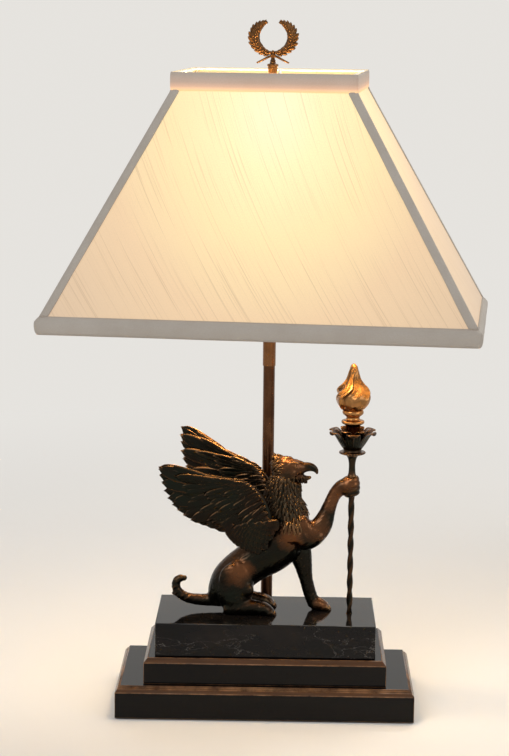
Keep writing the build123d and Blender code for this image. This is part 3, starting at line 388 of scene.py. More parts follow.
evenly = (300, 300, 300)
finishes = {made.name: made for made in (
    ebonisedWood(), blackMarble(), greenFelt(), slubSilk(), creamLining(), frostedGlass(),
    twillTape("topTape", 0.6665, 0.6835, 1),
    twillTape("trimTape", 0, 0.1, 0.6),
    brass("poleBrass", (0.125, 0.056, 0.026), (0.035, 0.014, 0.008), 0.2, tarnish=0.75),
    brass("sleeveBrass", (0.24, 0.105, 0.042), (0.07, 0.03, 0.014), 0.2),
    brass("flameBrass", (0.46, 0.22, 0.075), (0.06, 0.024, 0.01), 0.13, tarnish=0.75, along=(160, 160, 160), worn=0.75),
    brass("harpBrass", (0.75, 0.58, 0.3), (0.35, 0.24, 0.11), 0.25),
    brass("socketBrass", (0.78, 0.6, 0.3), (0.4, 0.28, 0.13), 0.22),
    brass("finialBrass", (0.22, 0.105, 0.042), (0.04, 0.02, 0.009), 0.24, tarnish=0.8, along=evenly),
    brass("wreathBrass", (0.15, 0.07, 0.027), (0.018, 0.009, 0.005), 0.26, tarnish=0.85, along=evenly, worn=0.35),
    bronze("patinatedBronze"),
    bronze("maneBronze", rubAndShine=0.62, edges=(0.53, 0.64)),
    # the far wing's bronze is a lighter copy of the wing's, with more painted highlight and painted light from above
    bronze("farWingBronze", rubAndShine=0.95, topLight=0.42, edges=(0.52, 0.62)),
    bronze("wingBronze", rubAndShine=0.62, topLight=0.22, edges=(0.53, 0.64)),
    bronze("torchBronze", rubAndShine=0.8, topLight=0.5),
    plainMetal("zincSteel", (0.6, 0.6, 0.58), (0.3, 0.3, 0.3), 0.3),
    plainMetal("bulbMetal", (0.78, 0.78, 0.78), (0.45, 0.45, 0.45), 0.28),
    moulded("blackRubber", (0.02, 0.02, 0.02), 0.6),
    moulded("mouldedBlack", (0.018, 0.018, 0.018), 0.35),
    moulded("insulatingPaper", (0.55, 0.44, 0.3), 0.8),
    moulded("paintedWire", (0.75, 0.72, 0.64), 0.45),
)}
print("finishes")

solidFinishes = {
    "greenFelt": "felt_pad",
    "ebonisedWood": "plinth riser",
    "blackMarble": "marble_block",
    "zincSteel": "tier_screws figure_bolts pipe_washer spring_washer pipe_nut lamp_pipe",
    "blackRubber": "cord_grommet",
    "poleBrass": "pole",
    "sleeveBrass": "neck_sleeve",
    "patinatedBronze": "griffin_body near_wing far_wing",
    "torchBronze": "torch_stem torch_collar torch_cup",
    "flameBrass": "torch_flame",
    "harpBrass": "harp_saddle harp left_ferrule right_ferrule harp_stud",
    "socketBrass": "socket_cap socket_shell thread_shell centre_contact terminal_screws",
    "insulatingPaper": "insulating_sleeve",
    "mouldedBlack": "socket_core switch_key",
    "bulbMetal": "bulb_base bulb_contact",
    "frostedGlass": "bulb_glass bulb_mount",
    "paintedWire": "shade_fitter shade_frame",
    "finialBrass": "finial_nut wreath",
}
for finish, names in solidFinishes.items():
    for name in names.split():
        slots = solids[name].data.materials
        slots.clear()
        slots.append(finishes[finish])


def addObject(name, data):
    thing = bpy.data.objects.new(name, data)
    scene.collection.objects.link(thing)
    return thing


def meshOf(name, points, faces=()):
    mesh = bpy.data.meshes.new(name)
    mesh.from_pydata(points, [], faces)
    return mesh


def openMesh(*meshes):
    work = bmesh.new()
    for mesh in meshes:
        work.from_mesh(mesh)
    return work


def closeMesh(work, mesh):
    # writes into a mesh, or into a new one of the given name
    mesh = bpy.data.meshes.new(mesh) if isinstance(mesh, str) else mesh
    work.to_mesh(mesh)
    work.free()
    return mesh


def faceOutwards(mesh):
    work = openMesh(mesh)
    bmesh.ops.recalc_face_normals(work, faces=work.faces)
    return closeMesh(work, mesh)


def bakedMesh(thing):
    # the mesh that an object's modifier makes; the object itself goes
    mesh = bpy.data.meshes.new_from_object(thing.evaluated_get(bpy.context.evaluated_depsgraph_get()))
    bpy.data.objects.remove(thing)
    return mesh


def gridFaces(rows, columns, start=0, wrap=False, flip=False):
    faces = []
    for r in range(rows - 1):
        for c in range(columns if wrap else columns - 1):
            a, b = start + r * columns + c, start + r * columns + (c + 1) % columns
            quad = (a, b, b + columns, a + columns)
            faces.append(quad[::-1] if flip else quad)
    return faces


def sheetFaces(rows, columns, flip):
    # two layers of a grid, joined round their rim
    size = rows * columns
    rim = [r * columns for r in range(rows)] + [(rows - 1) * columns + c for c in range(1, columns)]
    rim += [r * columns + columns - 1 for r in range(rows - 2, -1, -1)] + list(range(columns - 2, 0, -1))
    faces = gridFaces(rows, columns, flip=flip) + gridFaces(rows, columns, start=size, flip=not flip)
    return faces + [(a, b, b + size, a + size) for a, b in zip(rim, rim[1:] + rim[:1])]


def barMesh(name, points, rings, sides):
    # rings of points joined along, with both ends closed
    ends = [tuple(range(sides))[::-1], tuple(range((rings - 1) * sides, rings * sides))]
    return faceOutwards(meshOf(name, points, gridFaces(rings, sides, wrap=True) + ends))


def dress(name, mesh, finish, body, node, smooth=True):
    # a visible piece that rides a body in place of a solid
    mesh.materials.clear()
    mesh.materials.append(finishes[finish])
    mesh.polygons.foreach_set("material_index", [0] * len(mesh.polygons))
    if smooth:
        mesh.polygons.foreach_set("use_smooth", [True] * len(mesh.polygons))
    piece = addObject(name, mesh)
    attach(piece, body)
    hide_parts(node)
    return piece


def joined(name, meshes, finish, body, node, move=None, flip=False):
    # plain meshes made one piece, with its place in its mesh
    work = openMesh(*meshes)
    if move is not None:
        bmesh.ops.transform(work, matrix=move, verts=work.verts)
    if flip:
        bmesh.ops.reverse_faces(work, faces=work.faces)
    return dress(name, closeMesh(work, name), finish, body, node)


cameraValues = {"place": (0.01857, -2.21805, 0.76065), "pitch": 10.42, "roll": 0.62, "yaw": -0.89, "lens": 98.32}
roomValues = {
    "tone": (0.79, 0.77, 0.735), "halfFloor": 14, "fadeFrom": 0.35, "fadeTo": 1.6, "aim": (0, 0, 0.35),
    # place, size, power and colour
    "lights": {"keyLight": ((-1.6, -2.2, 2.4), (1.6, 1.6), 42, (1, 1, 1)),
               "fillLight": ((2.2, -1.6, 1.3), (1.8, 1.8), 20, (1, 1, 1)),
               "rimLight": ((0.6, 1.1, 1.9), (1.6, 0.8), 22, (1, 0.93, 0.82))},
    "bulb": {"energy": 3.6, "color": (1, 0.72, 0.4), "shadow_soft_size": 0.03}, "bulbPlace": (0, -0.045, 0.56),
}


def addCamera():
    pitch, roll, yaw = (radians(cameraValues[k]) for k in ("pitch", "roll", "yaw"))
    forward = Vector((sin(yaw) * cos(pitch), cos(yaw) * cos(pitch), -sin(pitch)))
    flat = Vector((cos(yaw), -sin(yaw), 0))
    level = flat.cross(forward)
    right = cos(roll) * flat + sin(roll) * level
    up = -sin(roll) * flat + cos(roll) * level
    data = bpy.data.cameras.new("photoCamera")
    data.lens, data.sensor_width, data.clip_end = cameraValues["lens"], 36, 50
    scene.camera = addObject("photoCamera", data)
    turned = Matrix((right, up, -forward)).transposed().to_4x4()
    scene.camera.matrix_world = Matrix.Translation(cameraValues["place"]) @ turned


def addStudio():
    scene.world = bpy.data.worlds.new("studioWorld")
    scene.world.use_nodes = True
    n = Nodes(scene.world.node_tree)
    rays = n.add("LightPath").outputs
    seen = n.larger(rays["Is Camera Ray"], n.larger(rays["Is Glossy Ray"], rays["Is Transmission Ray"]))
    back = n.tree.nodes["Background"].inputs
    put(back["Color"], n.mix(seen, (0.62, 0.62, 0.64), roomValues["tone"]))
    put(back["Strength"], n.span(seen, 0, 1, 0.6, 1))
    # a floor that holds the shadow near the lamp and fades into the room's own tone further out
    n = Finish("palePaper")
    coords = n.coords()
    far = n.span(n.vectorMath("LENGTH", coords, output=1), roomValues["fadeFrom"], roomValues["fadeTo"],
                 interpolation_type="SMOOTHSTEP")
    paper = n.mix(n.noise(coords, 3), (0.76, 0.745, 0.72), (0.8, 0.785, 0.76))
    half = roomValues["halfFloor"]
    mesh = meshOf("floor", [(-half, -half, 0), (half, -half, 0), (half, half, 0), (-half, half, 0)], [(0, 1, 2, 3)])
    mesh.materials.append(n.done(colour=n.mix(far, paper, (0, 0, 0)), roughness=0.9, specular=0,
                                 emission=n.mix(far, (0, 0, 0), roomValues["tone"]), emissionStrength=1))
    addObject("floor", mesh)
    for name, (place, size, power, colour) in roomValues["lights"].items():
        data = bpy.data.lights.new(name, "AREA")
        data.shape, data.energy, data.color = "RECTANGLE", power, colour
        data.size, data.size_y = size
        turn = (Vector(roomValues["aim"]) - Vector(place)).to_track_quat("-Z", "Y").to_matrix().to_4x4()
        addObject(name, data).matrix_world = Matrix.Translation(place) @ turn
    # the lit bulb: a small warm light that gilds what stands under the shade
    data = bpy.data.lights.new("bulbGlow", "POINT")
    for key, value in roomValues["bulb"].items():
        setattr(data, key, value)
    addObject("bulbGlow", data).location = roomValues["bulbPlace"]


addCamera()
addStudio()
print("camera and studio")


shadeValues = {
    "turn": -6.3,
    "levels": [(0.6852, 0.096, 0.079), (0.6662, 0.096, 0.079), (0.4329, 0.2265, 0.122), (0.4269, 0.23, 0.124),
               (0.4134, 0.23, 0.124)],        # height, half width, half depth
    "coverThickness": 0.0006, "liningInset": 0.0045, "liningThickness": 0.0005,
    "rows": 90, "columns": 72, "ripple": 0.00035, "sag": 0.0007,
    # for each band: its ends, how far it stands off, its lap on the cover, its padding and its corner's radius
    "topBand": (0.6661, 0.6852, 0.0013, 0.0008, 0.0002, 0.0028),
    "bottomBand": (0.4134, 0.4329, 0.0016, 0.0006, 0.0016, 0.005), "bandSteps": 90, "cornerSteps": 8, "wobble": 0.0003,
    # the tape lies under the bands' edges; its lift is that of its back, its rim, its crown and its fold
    "tapeWidth": 0.0088, "tapeLift": (0.00015, 0.0005, 0.0008, 0.0012), "tapeRows": 70, "tapeColumns": 17,
}


def shadeHalf(z):
    levels = shadeValues["levels"]
    for (z0, w0, d0), (z1, w1, d1) in zip(levels, levels[1:]):
        if z >= z1 - 1e-9:
            t = max(0, (z0 - z) / (z0 - z1))
            return w0 + t * (w1 - w0), d0 + t * (d1 - d0)
    return levels[-1][1:]


def turnShade(x, y, z):
    a = radians(shadeValues["turn"])
    return (x * cos(a) - y * sin(a), x * sin(a) + y * cos(a), z)


def onSide(side, across, w, d):
    # across runs from -1 to 1, left to right as seen from outside that side
    return {"front": (across * w, -d), "right": (w, across * d), "rear": (-across * w, d),
            "left": (-w, -across * d)}[side]


def clothPiece(name, points, faces, places, finish, node):
    mesh = meshOf(name, points, faces)
    mesh.validate()
    uv = mesh.uv_layers.new(name="cloth").data
    for loop in mesh.loops:
        uv[loop.index].uv = places[loop.vertex_index]
    return dress(name, faceOutwards(mesh), finish, "shade", node)


def clothPanel(kind, side, inset, thickness, finish, low, high, node):
    # one stretched trapezium with a real thickness, cut to the slope of its side
    rows, columns = shadeValues["rows"], shadeValues["columns"]
    heights = [high + (low - high) * r / (rows - 1) for r in range(rows)]
    halves = [shadeHalf(z) for z in heights]
    along, out = (0, 1) if side in ("front", "rear") else (1, 0)
    widths = [2 * (half[along] - inset) for half in halves]
    drops, area = [0], 0
    for r in range(1, rows):
        drops.append(drops[-1] + hypot(halves[r][out] - halves[r - 1][out], heights[r - 1] - heights[r]))
        area += 0.5 * (widths[r] + widths[r - 1]) * (drops[r] - drops[r - 1])
    outX, outY = onSide(side, 0, 1, 1)
    points, places = [], []
    for depth in (inset, inset + thickness):
        for r, (z, (w, d)) in enumerate(zip(heights, halves)):
            for c in range(columns):
                across = -1 + 2 * c / (columns - 1)
                x, y = onSide(side, across, w - depth, d - depth)
                wave = noise.noise(Vector((x * 9, y * 9, z * 7)) + Vector((3.1, 0, 0))) * shadeValues["ripple"]
                sag = (wave - shadeValues["sag"]) * ((1 - across * across) * sin(pi * r / (rows - 1)))
                points.append(turnShade(x + outX * sag, y + outY * sag, z))
                v = drops[r]
                places.append((across * halves[r][along] - 0.25 * v - 0.8 * v * v, v))     # the slubs lean
    piece = clothPiece(kind + side.title(), points, sheetFaces(rows, columns, True), places, finish, node)
    return piece, (round(max(widths), 4), round(drops[-1], 4)), area


def roundedBand(low, high, stand, lap, padding, steps=10):
    # outer face bulged by padding, rolled edges, and a flat back on the cover
    profile = []
    for k in range(steps + 1):
        t = k / steps
        roll = min(1, (min(t, 1 - t) * 7)) ** 0.5
        profile.append((low + (high - low) * t, lap + (stand - lap) * roll + padding * sin(pi * t)))
    return profile + [(z, 0.00005) for z in (high - 0.0004, (low + high) / 2, low + 0.0004)]


def bandAround(name, finish, node):
    # a fabric band swept round the shade; its profile is (height, how far it stands off the cover)
    *sizes, corner = shadeValues[name]
    profile = roundedBand(*sizes)
    signs, straight, bend = [(1, 1), (-1, 1), (-1, -1), (1, -1)], shadeValues["bandSteps"], shadeValues["cornerSteps"]
    loop = []
    for k, (sx, sy) in enumerate(signs):
        tx, ty = signs[(k + 1) % 4]
        loop += [(sx, sy, radians(90 * k + 90 * i / bend)) for i in range(bend + 1)]
        loop += [(sx + (tx - sx) * i / straight, sy + (ty - sy) * i / straight, radians(90 * k + 90))
                 for i in range(1, straight)]
    points, places, wobble = [], [], shadeValues["wobble"]
    for row, (z, off) in enumerate(profile):
        w, d = (half + off - corner for half in shadeHalf(z))
        length, last = 0, None
        for sx, sy, a in loop:
            x, y = sx * w + corner * cos(a), sy * d + corner * sin(a)
            ripple = noise.noise(Vector((x * 26, y * 26, z * 60))) * wobble
            x, y = x + cos(a) * ripple, y + sin(a) * ripple
            length += hypot(x - last[0], y - last[1]) if last else 0
            last = (x, y)
            points.append(turnShade(x, y, z + noise.noise(Vector((x * 14, y * 14, 5 + row))) * wobble * 0.4))
            places.append((length, z))
    rows, columns = len(profile), len(loop)
    top = (rows - 1) * columns
    faces = gridFaces(rows, columns, wrap=True)
    faces += [(c, (c + 1) % columns, top + (c + 1) % columns, top + c) for c in range(columns)]
    return clothPiece(name, points, faces, places, finish, node)


def cornerTape(sx, sy):
    # a folded tape over one sloping corner
    width, rows, columns = (shadeValues[k] for k in ("tapeWidth", "tapeRows", "tapeColumns"))
    low, high = shadeValues["bottomBand"][1] - 0.001, shadeValues["topBand"][0] + 0.001
    under, rim, crown, fold = shadeValues["tapeLift"]
    points, places = [], []
    for layer in (0, 1):
        for r in range(rows):
            z = low + (high - low) * r / (rows - 1)
            w, d = shadeHalf(z)
            for c in range(columns):
                t = -1 + 2 * c / (columns - 1)
                reach = abs(t) * width * (1 + 0.05 * noise.noise(Vector((t, z * 30, sx + 2 * sy))))
                lift = under if layer else rim + crown * (1 - t * t) ** 0.5
                bend = fold * exp(-(t / 0.22) ** 2)
                over, back = lift - bend * 0.3, -reach - bend
                x, y = (back, over) if t < 0 else (over, back)
                if c == columns // 2:
                    x = y = (lift - bend) * 0.6
                points.append(turnShade(sx * (w + x), sy * (d + y), z))
                places.append((t * width, z))
    name = "cornerTape" + ("Left" if sx < 0 else "Right") + ("Front" if sy < 0 else "Rear")
    return clothPiece(name, points, sheetFaces(rows, columns, False), places, "trimTape", "corner_trims")


def makeShade():
    low, high = shadeValues["levels"][-1][0], shadeValues["levels"][0][0]
    trims = [bandAround("topBand", "topTape", "top_trim"), bandAround("bottomBand", "trimTape", "bottom_trim")]
    trims += [cornerTape(sx, sy) for sx in (-1, 1) for sy in (-1, 1)]
    layers = {"silk": (0, shadeValues["coverThickness"], "slubSilk", low, high, "shade_cover"),
              "lining": (shadeValues["liningInset"], shadeValues["liningThickness"], "creamLining", low + 0.003,
                         high - 0.006, "shade_lining")}
    for side in ("front", "right", "rear", "left"):
        for kind, values in layers.items():
            panel, flat, area = clothPanel(kind, side, *values)


makeShade()
print("shade")


def makeLayTree():
    # puts one small shape on every point, turned and sized by the point's own attributes
    inputs = {"Geometry": ("Geometry", None), "Shape": ("Object", None), "Width": ("Float", 1),
              "Thickness": ("Float", 1), "Ruffle": ("Float", 0.05), "Seed": ("Int", 3), "Finish": ("Material", None)}
    n, given, out = newTree("layOnPoints", "Geometry", inputs, {"Geometry": "Geometry"})
    turn, size = (n.add("GeometryNodeInputNamedAttribute", {"Name": name}, data_type="FLOAT_VECTOR").outputs[0]
                  for name in ("turn", "size"))
    low, high = (n.add("VectorMath", {0: (s, s, s), 3: given["Ruffle"]}, operation="SCALE").outputs[0] for s in (-1, 1))
    jitter = n.add("FunctionNodeRandomValue", {0: low, 1: high, "Seed": given["Seed"]}, data_type="FLOAT_VECTOR")
    turn = n.vectorMath("ADD", turn, jitter.outputs[0])
    stretch = n.add("CombineXYZ", {0: 1, 1: given["Thickness"], 2: given["Width"]}).outputs[0]
    laid = n.add("GeometryNodeInstanceOnPoints", {
        "Points": given["Geometry"],
        "Instance": n.add("GeometryNodeObjectInfo", {"Object": given["Shape"]}).outputs["Geometry"],
        "Rotation": n.add("FunctionNodeEulerToRotation", {0: turn}).outputs[0],
        "Scale": n.vectorMath("MULTIPLY", size, stretch)}).outputs[0]
    real = n.add("GeometryNodeRealizeInstances", {"Geometry": laid}).outputs[0]
    put(out["Geometry"], n.add("GeometryNodeSetMaterial", {"Geometry": real, "Material": given["Finish"]}).outputs[0])
    return n.tree


layTree = makeLayTree()


def layShapes(places, shape, finish, ruffle, seed):
    # places are (position, turn, size); gives back a plain mesh
    mesh = meshOf("places", [place[0] for place in places])
    for index, label in ((1, "turn"), (2, "size")):
        attribute = mesh.attributes.new(label, "FLOAT_VECTOR", "POINT")
        attribute.data.foreach_set("vector", [v for place in places for v in place[index]])
    holder = addObject("places", mesh)
    modifier = holder.modifiers.new("lay", "NODES")
    modifier.node_group = layTree
    values = {"Shape": shape, "Ruffle": ruffle, "Seed": seed, "Finish": finishes[finish]}
    for item in layTree.interface.items_tree:
        if item.in_out == "INPUT" and item.name in values:
            modifier[item.identifier] = values[item.name]
    return bakedMesh(holder)


def vaneShape(name, rows, columns, barbs, side=-1, point=2.2, bend=0.06, ridge=0.4):
    # one feather or leaf of unit length along +X, unit width along Z, its face towards side * Y
    points = []
    for layer in (0, 1):
        for r in range(rows + 1):
            t = r / rows
            swell = (0.4 + 0.6 * min(1, t / 0.35) ** 0.8) * (1 - max(0, (t - 0.55) / 0.45) ** point) ** 0.6
            half = 0.5 * max(0.012, swell)
            for c in range(columns + 1):
                s = -1 + 2 * c / columns
                crown = 0.55 * (1 - s * s) ** 0.7
                quill = ridge * exp(-(s / 0.16) ** 2) * (1 - 0.6 * t)
                barb = 0.09 * sin(barbs * (t * 6.28 - abs(s) * 1.4)) * min(1, abs(s) * 4) * (1 - s * s)
                face = 0.02 + (crown + quill + barb) * (1 - 0.35 * t) * min(1, (1 - t) * 9 + 0.12)
                points.append((t - 0.02 * abs(s), side * (-0.12 if layer else face), s * half - bend * t * t))
    mesh = faceOutwards(meshOf(name, points, sheetFaces(rows + 1, columns + 1, side > 0)))
    mesh.polygons.foreach_set("use_smooth", [True] * len(mesh.polygons))
    return addObject(name, mesh)


deck = 0.1015          # top of the marble
figureY = -0.039       # the figure's middle plane


def fromFigure(x, off, h):
    # mm along the figure, off its middle plane and over the marble, as a place in the scene
    return (x / 1000, figureY + off / 1000, deck + h / 1000)


def toFigure(place):
    return place.x * 1000, (place.y - figureY) * 1000, (place.z - deck) * 1000


def curve3(a, b, c, t):
    return tuple((1 - t) ** 2 * p + 2 * t * (1 - t) * q + t * t * s for p, q, s in zip(a, b, c))


def alongPath(path, t):
    # a smooth curve through the given stations, t from 0 to 1
    place = min(max(t, 0), 1) * (len(path) - 1)
    i = min(int(place), len(path) - 2)
    u = place - i
    before, a, b, after = path[max(i - 1, 0)], path[i], path[i + 1], path[min(i + 2, len(path) - 1)]
    return tuple(0.5 * (2 * q + (r - p) * u + (2 * p - 5 * q + 4 * r - s) * u * u + (3 * q - p - 3 * r + s) * u ** 3)
                 for p, q, r, s in zip(before, a, b, after))


def tubeAlong(line, steps=10, sides=16, flat=0.75):
    # a round bar through (x, height over the marble, radius) stations in the plane y = 0
    count = (len(line) - 1) * steps
    dense = [alongPath(line, i / count) for i in range(count + 1)]
    points = []
    for i, (x, h, r) in enumerate(dense):
        after, before = dense[min(i + 1, count)], dense[max(i - 1, 0)]
        way = Vector((after[0] - before[0], after[1] - before[1])).normalized()
        for k in range(sides):
            a = 2 * pi * k / sides
            out = r * cos(a)
            points.append(((x - way.y * out) / 1000, flat * r * sin(a) / 1000, deck + (h + way.x * out) / 1000))
    return barMesh("tube", points, count + 1, sides)


wingValues = {
    # rows of feathers: count, root curve, tip curve, width, how far out, roll
    "rows": [
        (12, ((-50, 147), (-30, 140), (-14, 116)), ((-119, 168), (-114, 116), (-57, 100)), 16.5, 0.6, 0.08),
        (7, ((-30, 132), (-18, 122), (-8, 108)), ((-60, 105), (-50, 99), (-41, 92)), 11.5, 0.9, 0.12),
        (14, ((-42, 149), (-20, 146), (-5, 116)), ((-101, 161), (-88, 117), (-40, 95)), 10.5, 1.7, 0.14),
        (13, ((-36, 149), (-16, 147), (-2, 114)), ((-78, 156), (-64, 121), (-32, 94)), 9.5, 2.5, 0.16),
        (12, ((-30, 149), (-12, 146), (0, 112)), ((-58, 152), (-44, 124), (-22, 95)), 8.5, 3.2, 0.18),
        (10, ((-24, 149), (-8, 145), (2, 110)), ((-41, 149), (-28, 128), (-11, 98)), 7.5, 3.8, 0.2),
    ],
    "scaleRows": 6, "scalesPerRow": 9, "scaleLength": 13, "scaleWidth": 8.4, "featherThickness": 2.6,
    "armLine": [(2, 92, 5.2), (0, 112, 5.4), (-8, 132, 4.6), (-22, 145.2, 3.6), (-48, 149.2, 2.9), (-76, 155, 2.4),
                (-104, 166, 1.9), (-117, 169.5, 1.2)],
    "splay": 12, "seat": 0.0235, "boss": (0.003, 0, deck + 0.097), "farLift": 13,
}


def wingPlaces(side):
    # points for the feathers on one face of the wing, in the wing's own plane
    places, thickness = [], wingValues["featherThickness"] / 1000

    def addFeather(root, tip, width, out, roll):
        length = hypot(tip[0] - root[0], tip[1] - root[1])
        heading = atan2(tip[1] - root[1], tip[0] - root[0])
        spot = (root[0] / 1000, side * (out + 1.2) / 1000, deck + root[1] / 1000)
        places.append((spot, (roll * side, -heading, 0.03 * side), (length / 1000, thickness, width / 1000)))

    for count, rootCurve, tipCurve, width, out, roll in wingValues["rows"]:
        for i in range(count):
            t = i / (count - 1)
            addFeather(curve3(*rootCurve, t), curve3(*tipCurve, t), width, out + 0.12 * i / count, roll)
    perRow, length = wingValues["scalesPerRow"], wingValues["scaleLength"]
    for row in range(wingValues["scaleRows"]):
        stations = (-45 + 7.5 * row, 95 + 0.6 * row), (-36 + 7 * row, 75 + 4.2 * row), (-2 + 2.4 * row, 68 + 5.6 * row)
        for i in range(perRow):
            t = (i + 0.5 * (row % 2)) / perRow
            tip, heading = curve3(*stations, t), radians(232 + 38 * t)
            root = (tip[0] - length * cos(heading), tip[1] - length * sin(heading))
            addFeather(root, tip, wingValues["scaleWidth"], 1.4 + 0.75 * row, 0.1)
    return places


def makeWings(feathers):
    meshes = [layShapes(wingPlaces(side), feather, "wingBronze", 0.035, seed)
              for side, feather, seed in zip((-1, 1), feathers, (11, 12))]
    meshes.append(tubeAlong(wingValues["armLine"]))
    splay, seat, boss = radians(wingValues["splay"]), wingValues["seat"], Matrix.Translation(wingValues["boss"])
    near = Matrix.Translation((0, figureY - seat, 0)) @ Matrix.Rotation(splay, 4, "Z")
    lift = boss @ Matrix.Rotation(radians(wingValues["farLift"]), 4, "Y") @ boss.inverted()
    far = Matrix.Translation((0, figureY + seat, 0)) @ Matrix.Rotation(-splay, 4, "Z") @ lift
    joined("nearWingFeathers", meshes, "wingBronze", "base", "near_wing", near)
    far = far @ Matrix.Diagonal((1, -1, 1, 1))        # mirrored, so its faces are turned round
    joined("farWingFeathers", meshes, "farWingBronze", "base", "far_wing", far, flip=True)


figureValues = {
    # ellipsoids worked into the casting: x, height, off the middle, then radii along x, height and across
    "muscles": [
        (26, 93, -18, 15, 13, 6), (38, 88, -19, 9, 10, 6), (-36, 40, -17, 15, 17, 6.5), (-22, 28, -19, 9, 8, 5),
        (28, 167, -6.5, 6.5, 1.9, 2.6), (28, 167, 6.5, 6.5, 1.9, 2.6), (24, 156, -8, 8, 6, 3.2),
        (24, 156, 8, 8, 6, 3.2), (29.5, 163.2, -8.4, 2.3, 2, 1.9), (29.5, 163.2, 8.4, 2.3, 2, 1.9),
        (42, 161, 0, 5.5, 4.6, 3.6), (12, 171.5, 0, 7, 2.4, 4), (20, 171.3, 0, 7, 2, 4.2), (55, 88, -15, 8, 7, 7),
        (-89.2, 35.2, 0, 3, 3, 3), (-98.4, 22, 0, 4.2, 6.2, 3.6), (-96.6, 34.4, 0, 3.6, 3.6, 3),
        (-101, 17.8, 0, 2.8, 2.3, 2.2),
    ],
    "grain": 0.00105, "smoothing": 3, "fur": 0.3, "tailFur": 0.7, "neckFur": 0.32, "swell": 0.28,
    "toes": [(57, 6), (-3, -16.5), (-3, 16.5)], "toePitch": 4.1, "clawSize": (0.0042, 0.0022, 0.0022), "clawTurn": 0.42,
    "grip": (91, -6, 142), "stemRadius": 3.6, "gripSqueeze": 0.42,
    # how far apart, how long, thick and wide the tufts are, and the angle at which they stand off
    "headTuft": (2.7, 6.2, 1.1, 3.2), "neckTuft": (3.2, 8.2, 1.5, 3.9), "tuftLift": 0.13,
}


def meshCopy(node):
    # a merged copy of a solid's mesh
    work = openMesh(solids[node].data)
    bmesh.ops.remove_doubles(work, verts=work.verts, dist=2e-6)
    return work


def furDepth(x, h, y):
    # fine strands that run back and down over the body, deeper on neck and tail tip, none on the beak
    if x > 36 and h > 140:
        return 0
    strands = noise.noise(Vector((x * 0.16 + h * 0.1, y * 0.5, h * 0.42 - x * 0.3)))
    broad = noise.noise(Vector((x * 0.07, y * 0.07, h * 0.07 + 7)))
    onNeck = -2 < x < 46 and 84 < h < 166
    amount = figureValues["neckFur" if onNeck else "tailFur" if x < -84 else "fur"]
    return strands * amount + broad * figureValues["swell"]


def makeGriffin(tuft, claw):
    work = meshCopy("griffin_body")
    for x, h, off, rx, rh, ry in figureValues["muscles"]:
        move = Matrix.Translation(fromFigure(x, off, h)) @ Matrix.Diagonal((rx / 1000, ry / 1000, rh / 1000, 1))
        bmesh.ops.create_icosphere(work, subdivisions=3, radius=1, matrix=move)
    rough = addObject("griffinRough", closeMesh(work, "griffinRough"))
    remesh = rough.modifiers.new("cast", "REMESH")
    remesh.mode, remesh.voxel_size = "VOXEL", figureValues["grain"]
    cast = bakedMesh(rough)
    work = openMesh(cast)
    for turn in range(figureValues["smoothing"]):
        bmesh.ops.smooth_vert(work, verts=work.verts, factor=0.5, use_axis_x=True, use_axis_y=True, use_axis_z=True)
    work.normal_update()
    (gripX, gripY, gripH), stem = figureValues["grip"], figureValues["stemRadius"]
    for v in work.verts:
        x, y, h = toFigure(v.co)
        if h < 0.8:        # the flat under the feet
            continue
        if x > 79 and 126 < h < 158:
            # the fist narrows to the stem above and below
            away = Vector((x - gripX, y - gripY, 0))
            pull = figureValues["gripSqueeze"] * min(1, abs(h - gripH) / 12) ** 2.2 * min(1, (x - 79) / 8)
            v.co -= away * (pull * max(0, 1 - stem / max(away.length, stem)) / 1000)
        v.co += v.normal * (furDepth(x, h, y) / 1000)
    work.normal_update()
    places = tuftPlaces(work)
    closeMesh(work, cast)
    tufts = layShapes(places, tuft, "maneBronze", 0.13, 5)
    claws = layShapes(clawPlaces(), claw, "patinatedBronze", 0.02, 6)
    joined("griffinFigure", [cast, claws], "patinatedBronze", "base", "griffin_body")
    joined("griffinMane", [tufts], "maneBronze", "base", "griffin_body")


def tuftPlaces(work):
    # shaggy feathers on neck, chest and the back of the head, each lying along the surface
    rng = random.Random(21)
    taken, places, lift = [], [], figureValues["tuftLift"]
    faces = list(work.faces)
    rng.shuffle(faces)
    for face in faces:
        spot = face.calc_center_median()
        x, y, h = toFigure(spot)
        onHead = h > 150 and x < 15
        onNeck = 96 < h <= 150 and -6 < x < 42 - 0.16 * (h - 100) + 6
        if not (onHead or onNeck) or (x > 36 and y < -8) or (h < 112 and x < 18):
            continue
        gap, length, thick, wide = figureValues["headTuft" if onHead else "neckTuft"]
        if any(abs(x - a) < gap and abs(y - b) < gap and (x - a) ** 2 + (y - b) ** 2 + (h - c) ** 2 < gap * gap
               for a, b, c in taken):
            continue
        taken.append((x, y, h))
        normal = face.normal
        flow = Vector((-0.95, 0, -0.35)) if onHead else Vector((-0.25 + 0.02 * (x - 14), 0, -1))
        flow = (flow - normal * flow.dot(normal)).normalized()
        lifted = (flow * cos(lift) + normal * sin(lift)).normalized()
        inwards = -(normal - lifted * normal.dot(lifted)).normalized()
        turn = Matrix((lifted, inwards, lifted.cross(inwards))).transposed().to_euler("XYZ")
        length = (length + (0 if onHead else 0.05 * (150 - h))) / 1000
        start = spot - lifted * (length * 0.35) + normal * 0.0001
        places.append((tuple(start), tuple(turn), (length, thick / 1000, wide / 1000)))
    return places


def clawPlaces():
    places = []
    for x, off in figureValues["toes"]:
        for toe in (-1.5, -0.5, 0.5, 1.5):
            place = fromFigure(x + 12.2 - abs(toe) * 0.9, off + toe * figureValues["toePitch"], 3.2)
            places.append((place, (0, figureValues["clawTurn"], 0), figureValues["clawSize"]))
    return places


def clawShape(rings=6, sides=8):
    # a small hooked cone along +X
    points = []
    for r in range(rings + 1):
        t = r / rings
        radius = 0.55 * (1 - t) ** 0.7 + 0.02
        for k in range(sides):
            a = 2 * pi * k / sides
            points.append((t, radius * cos(a), radius * sin(a) - 0.9 * t * t))
    return addObject("claw", barMesh("claw", points, rings + 1, sides))


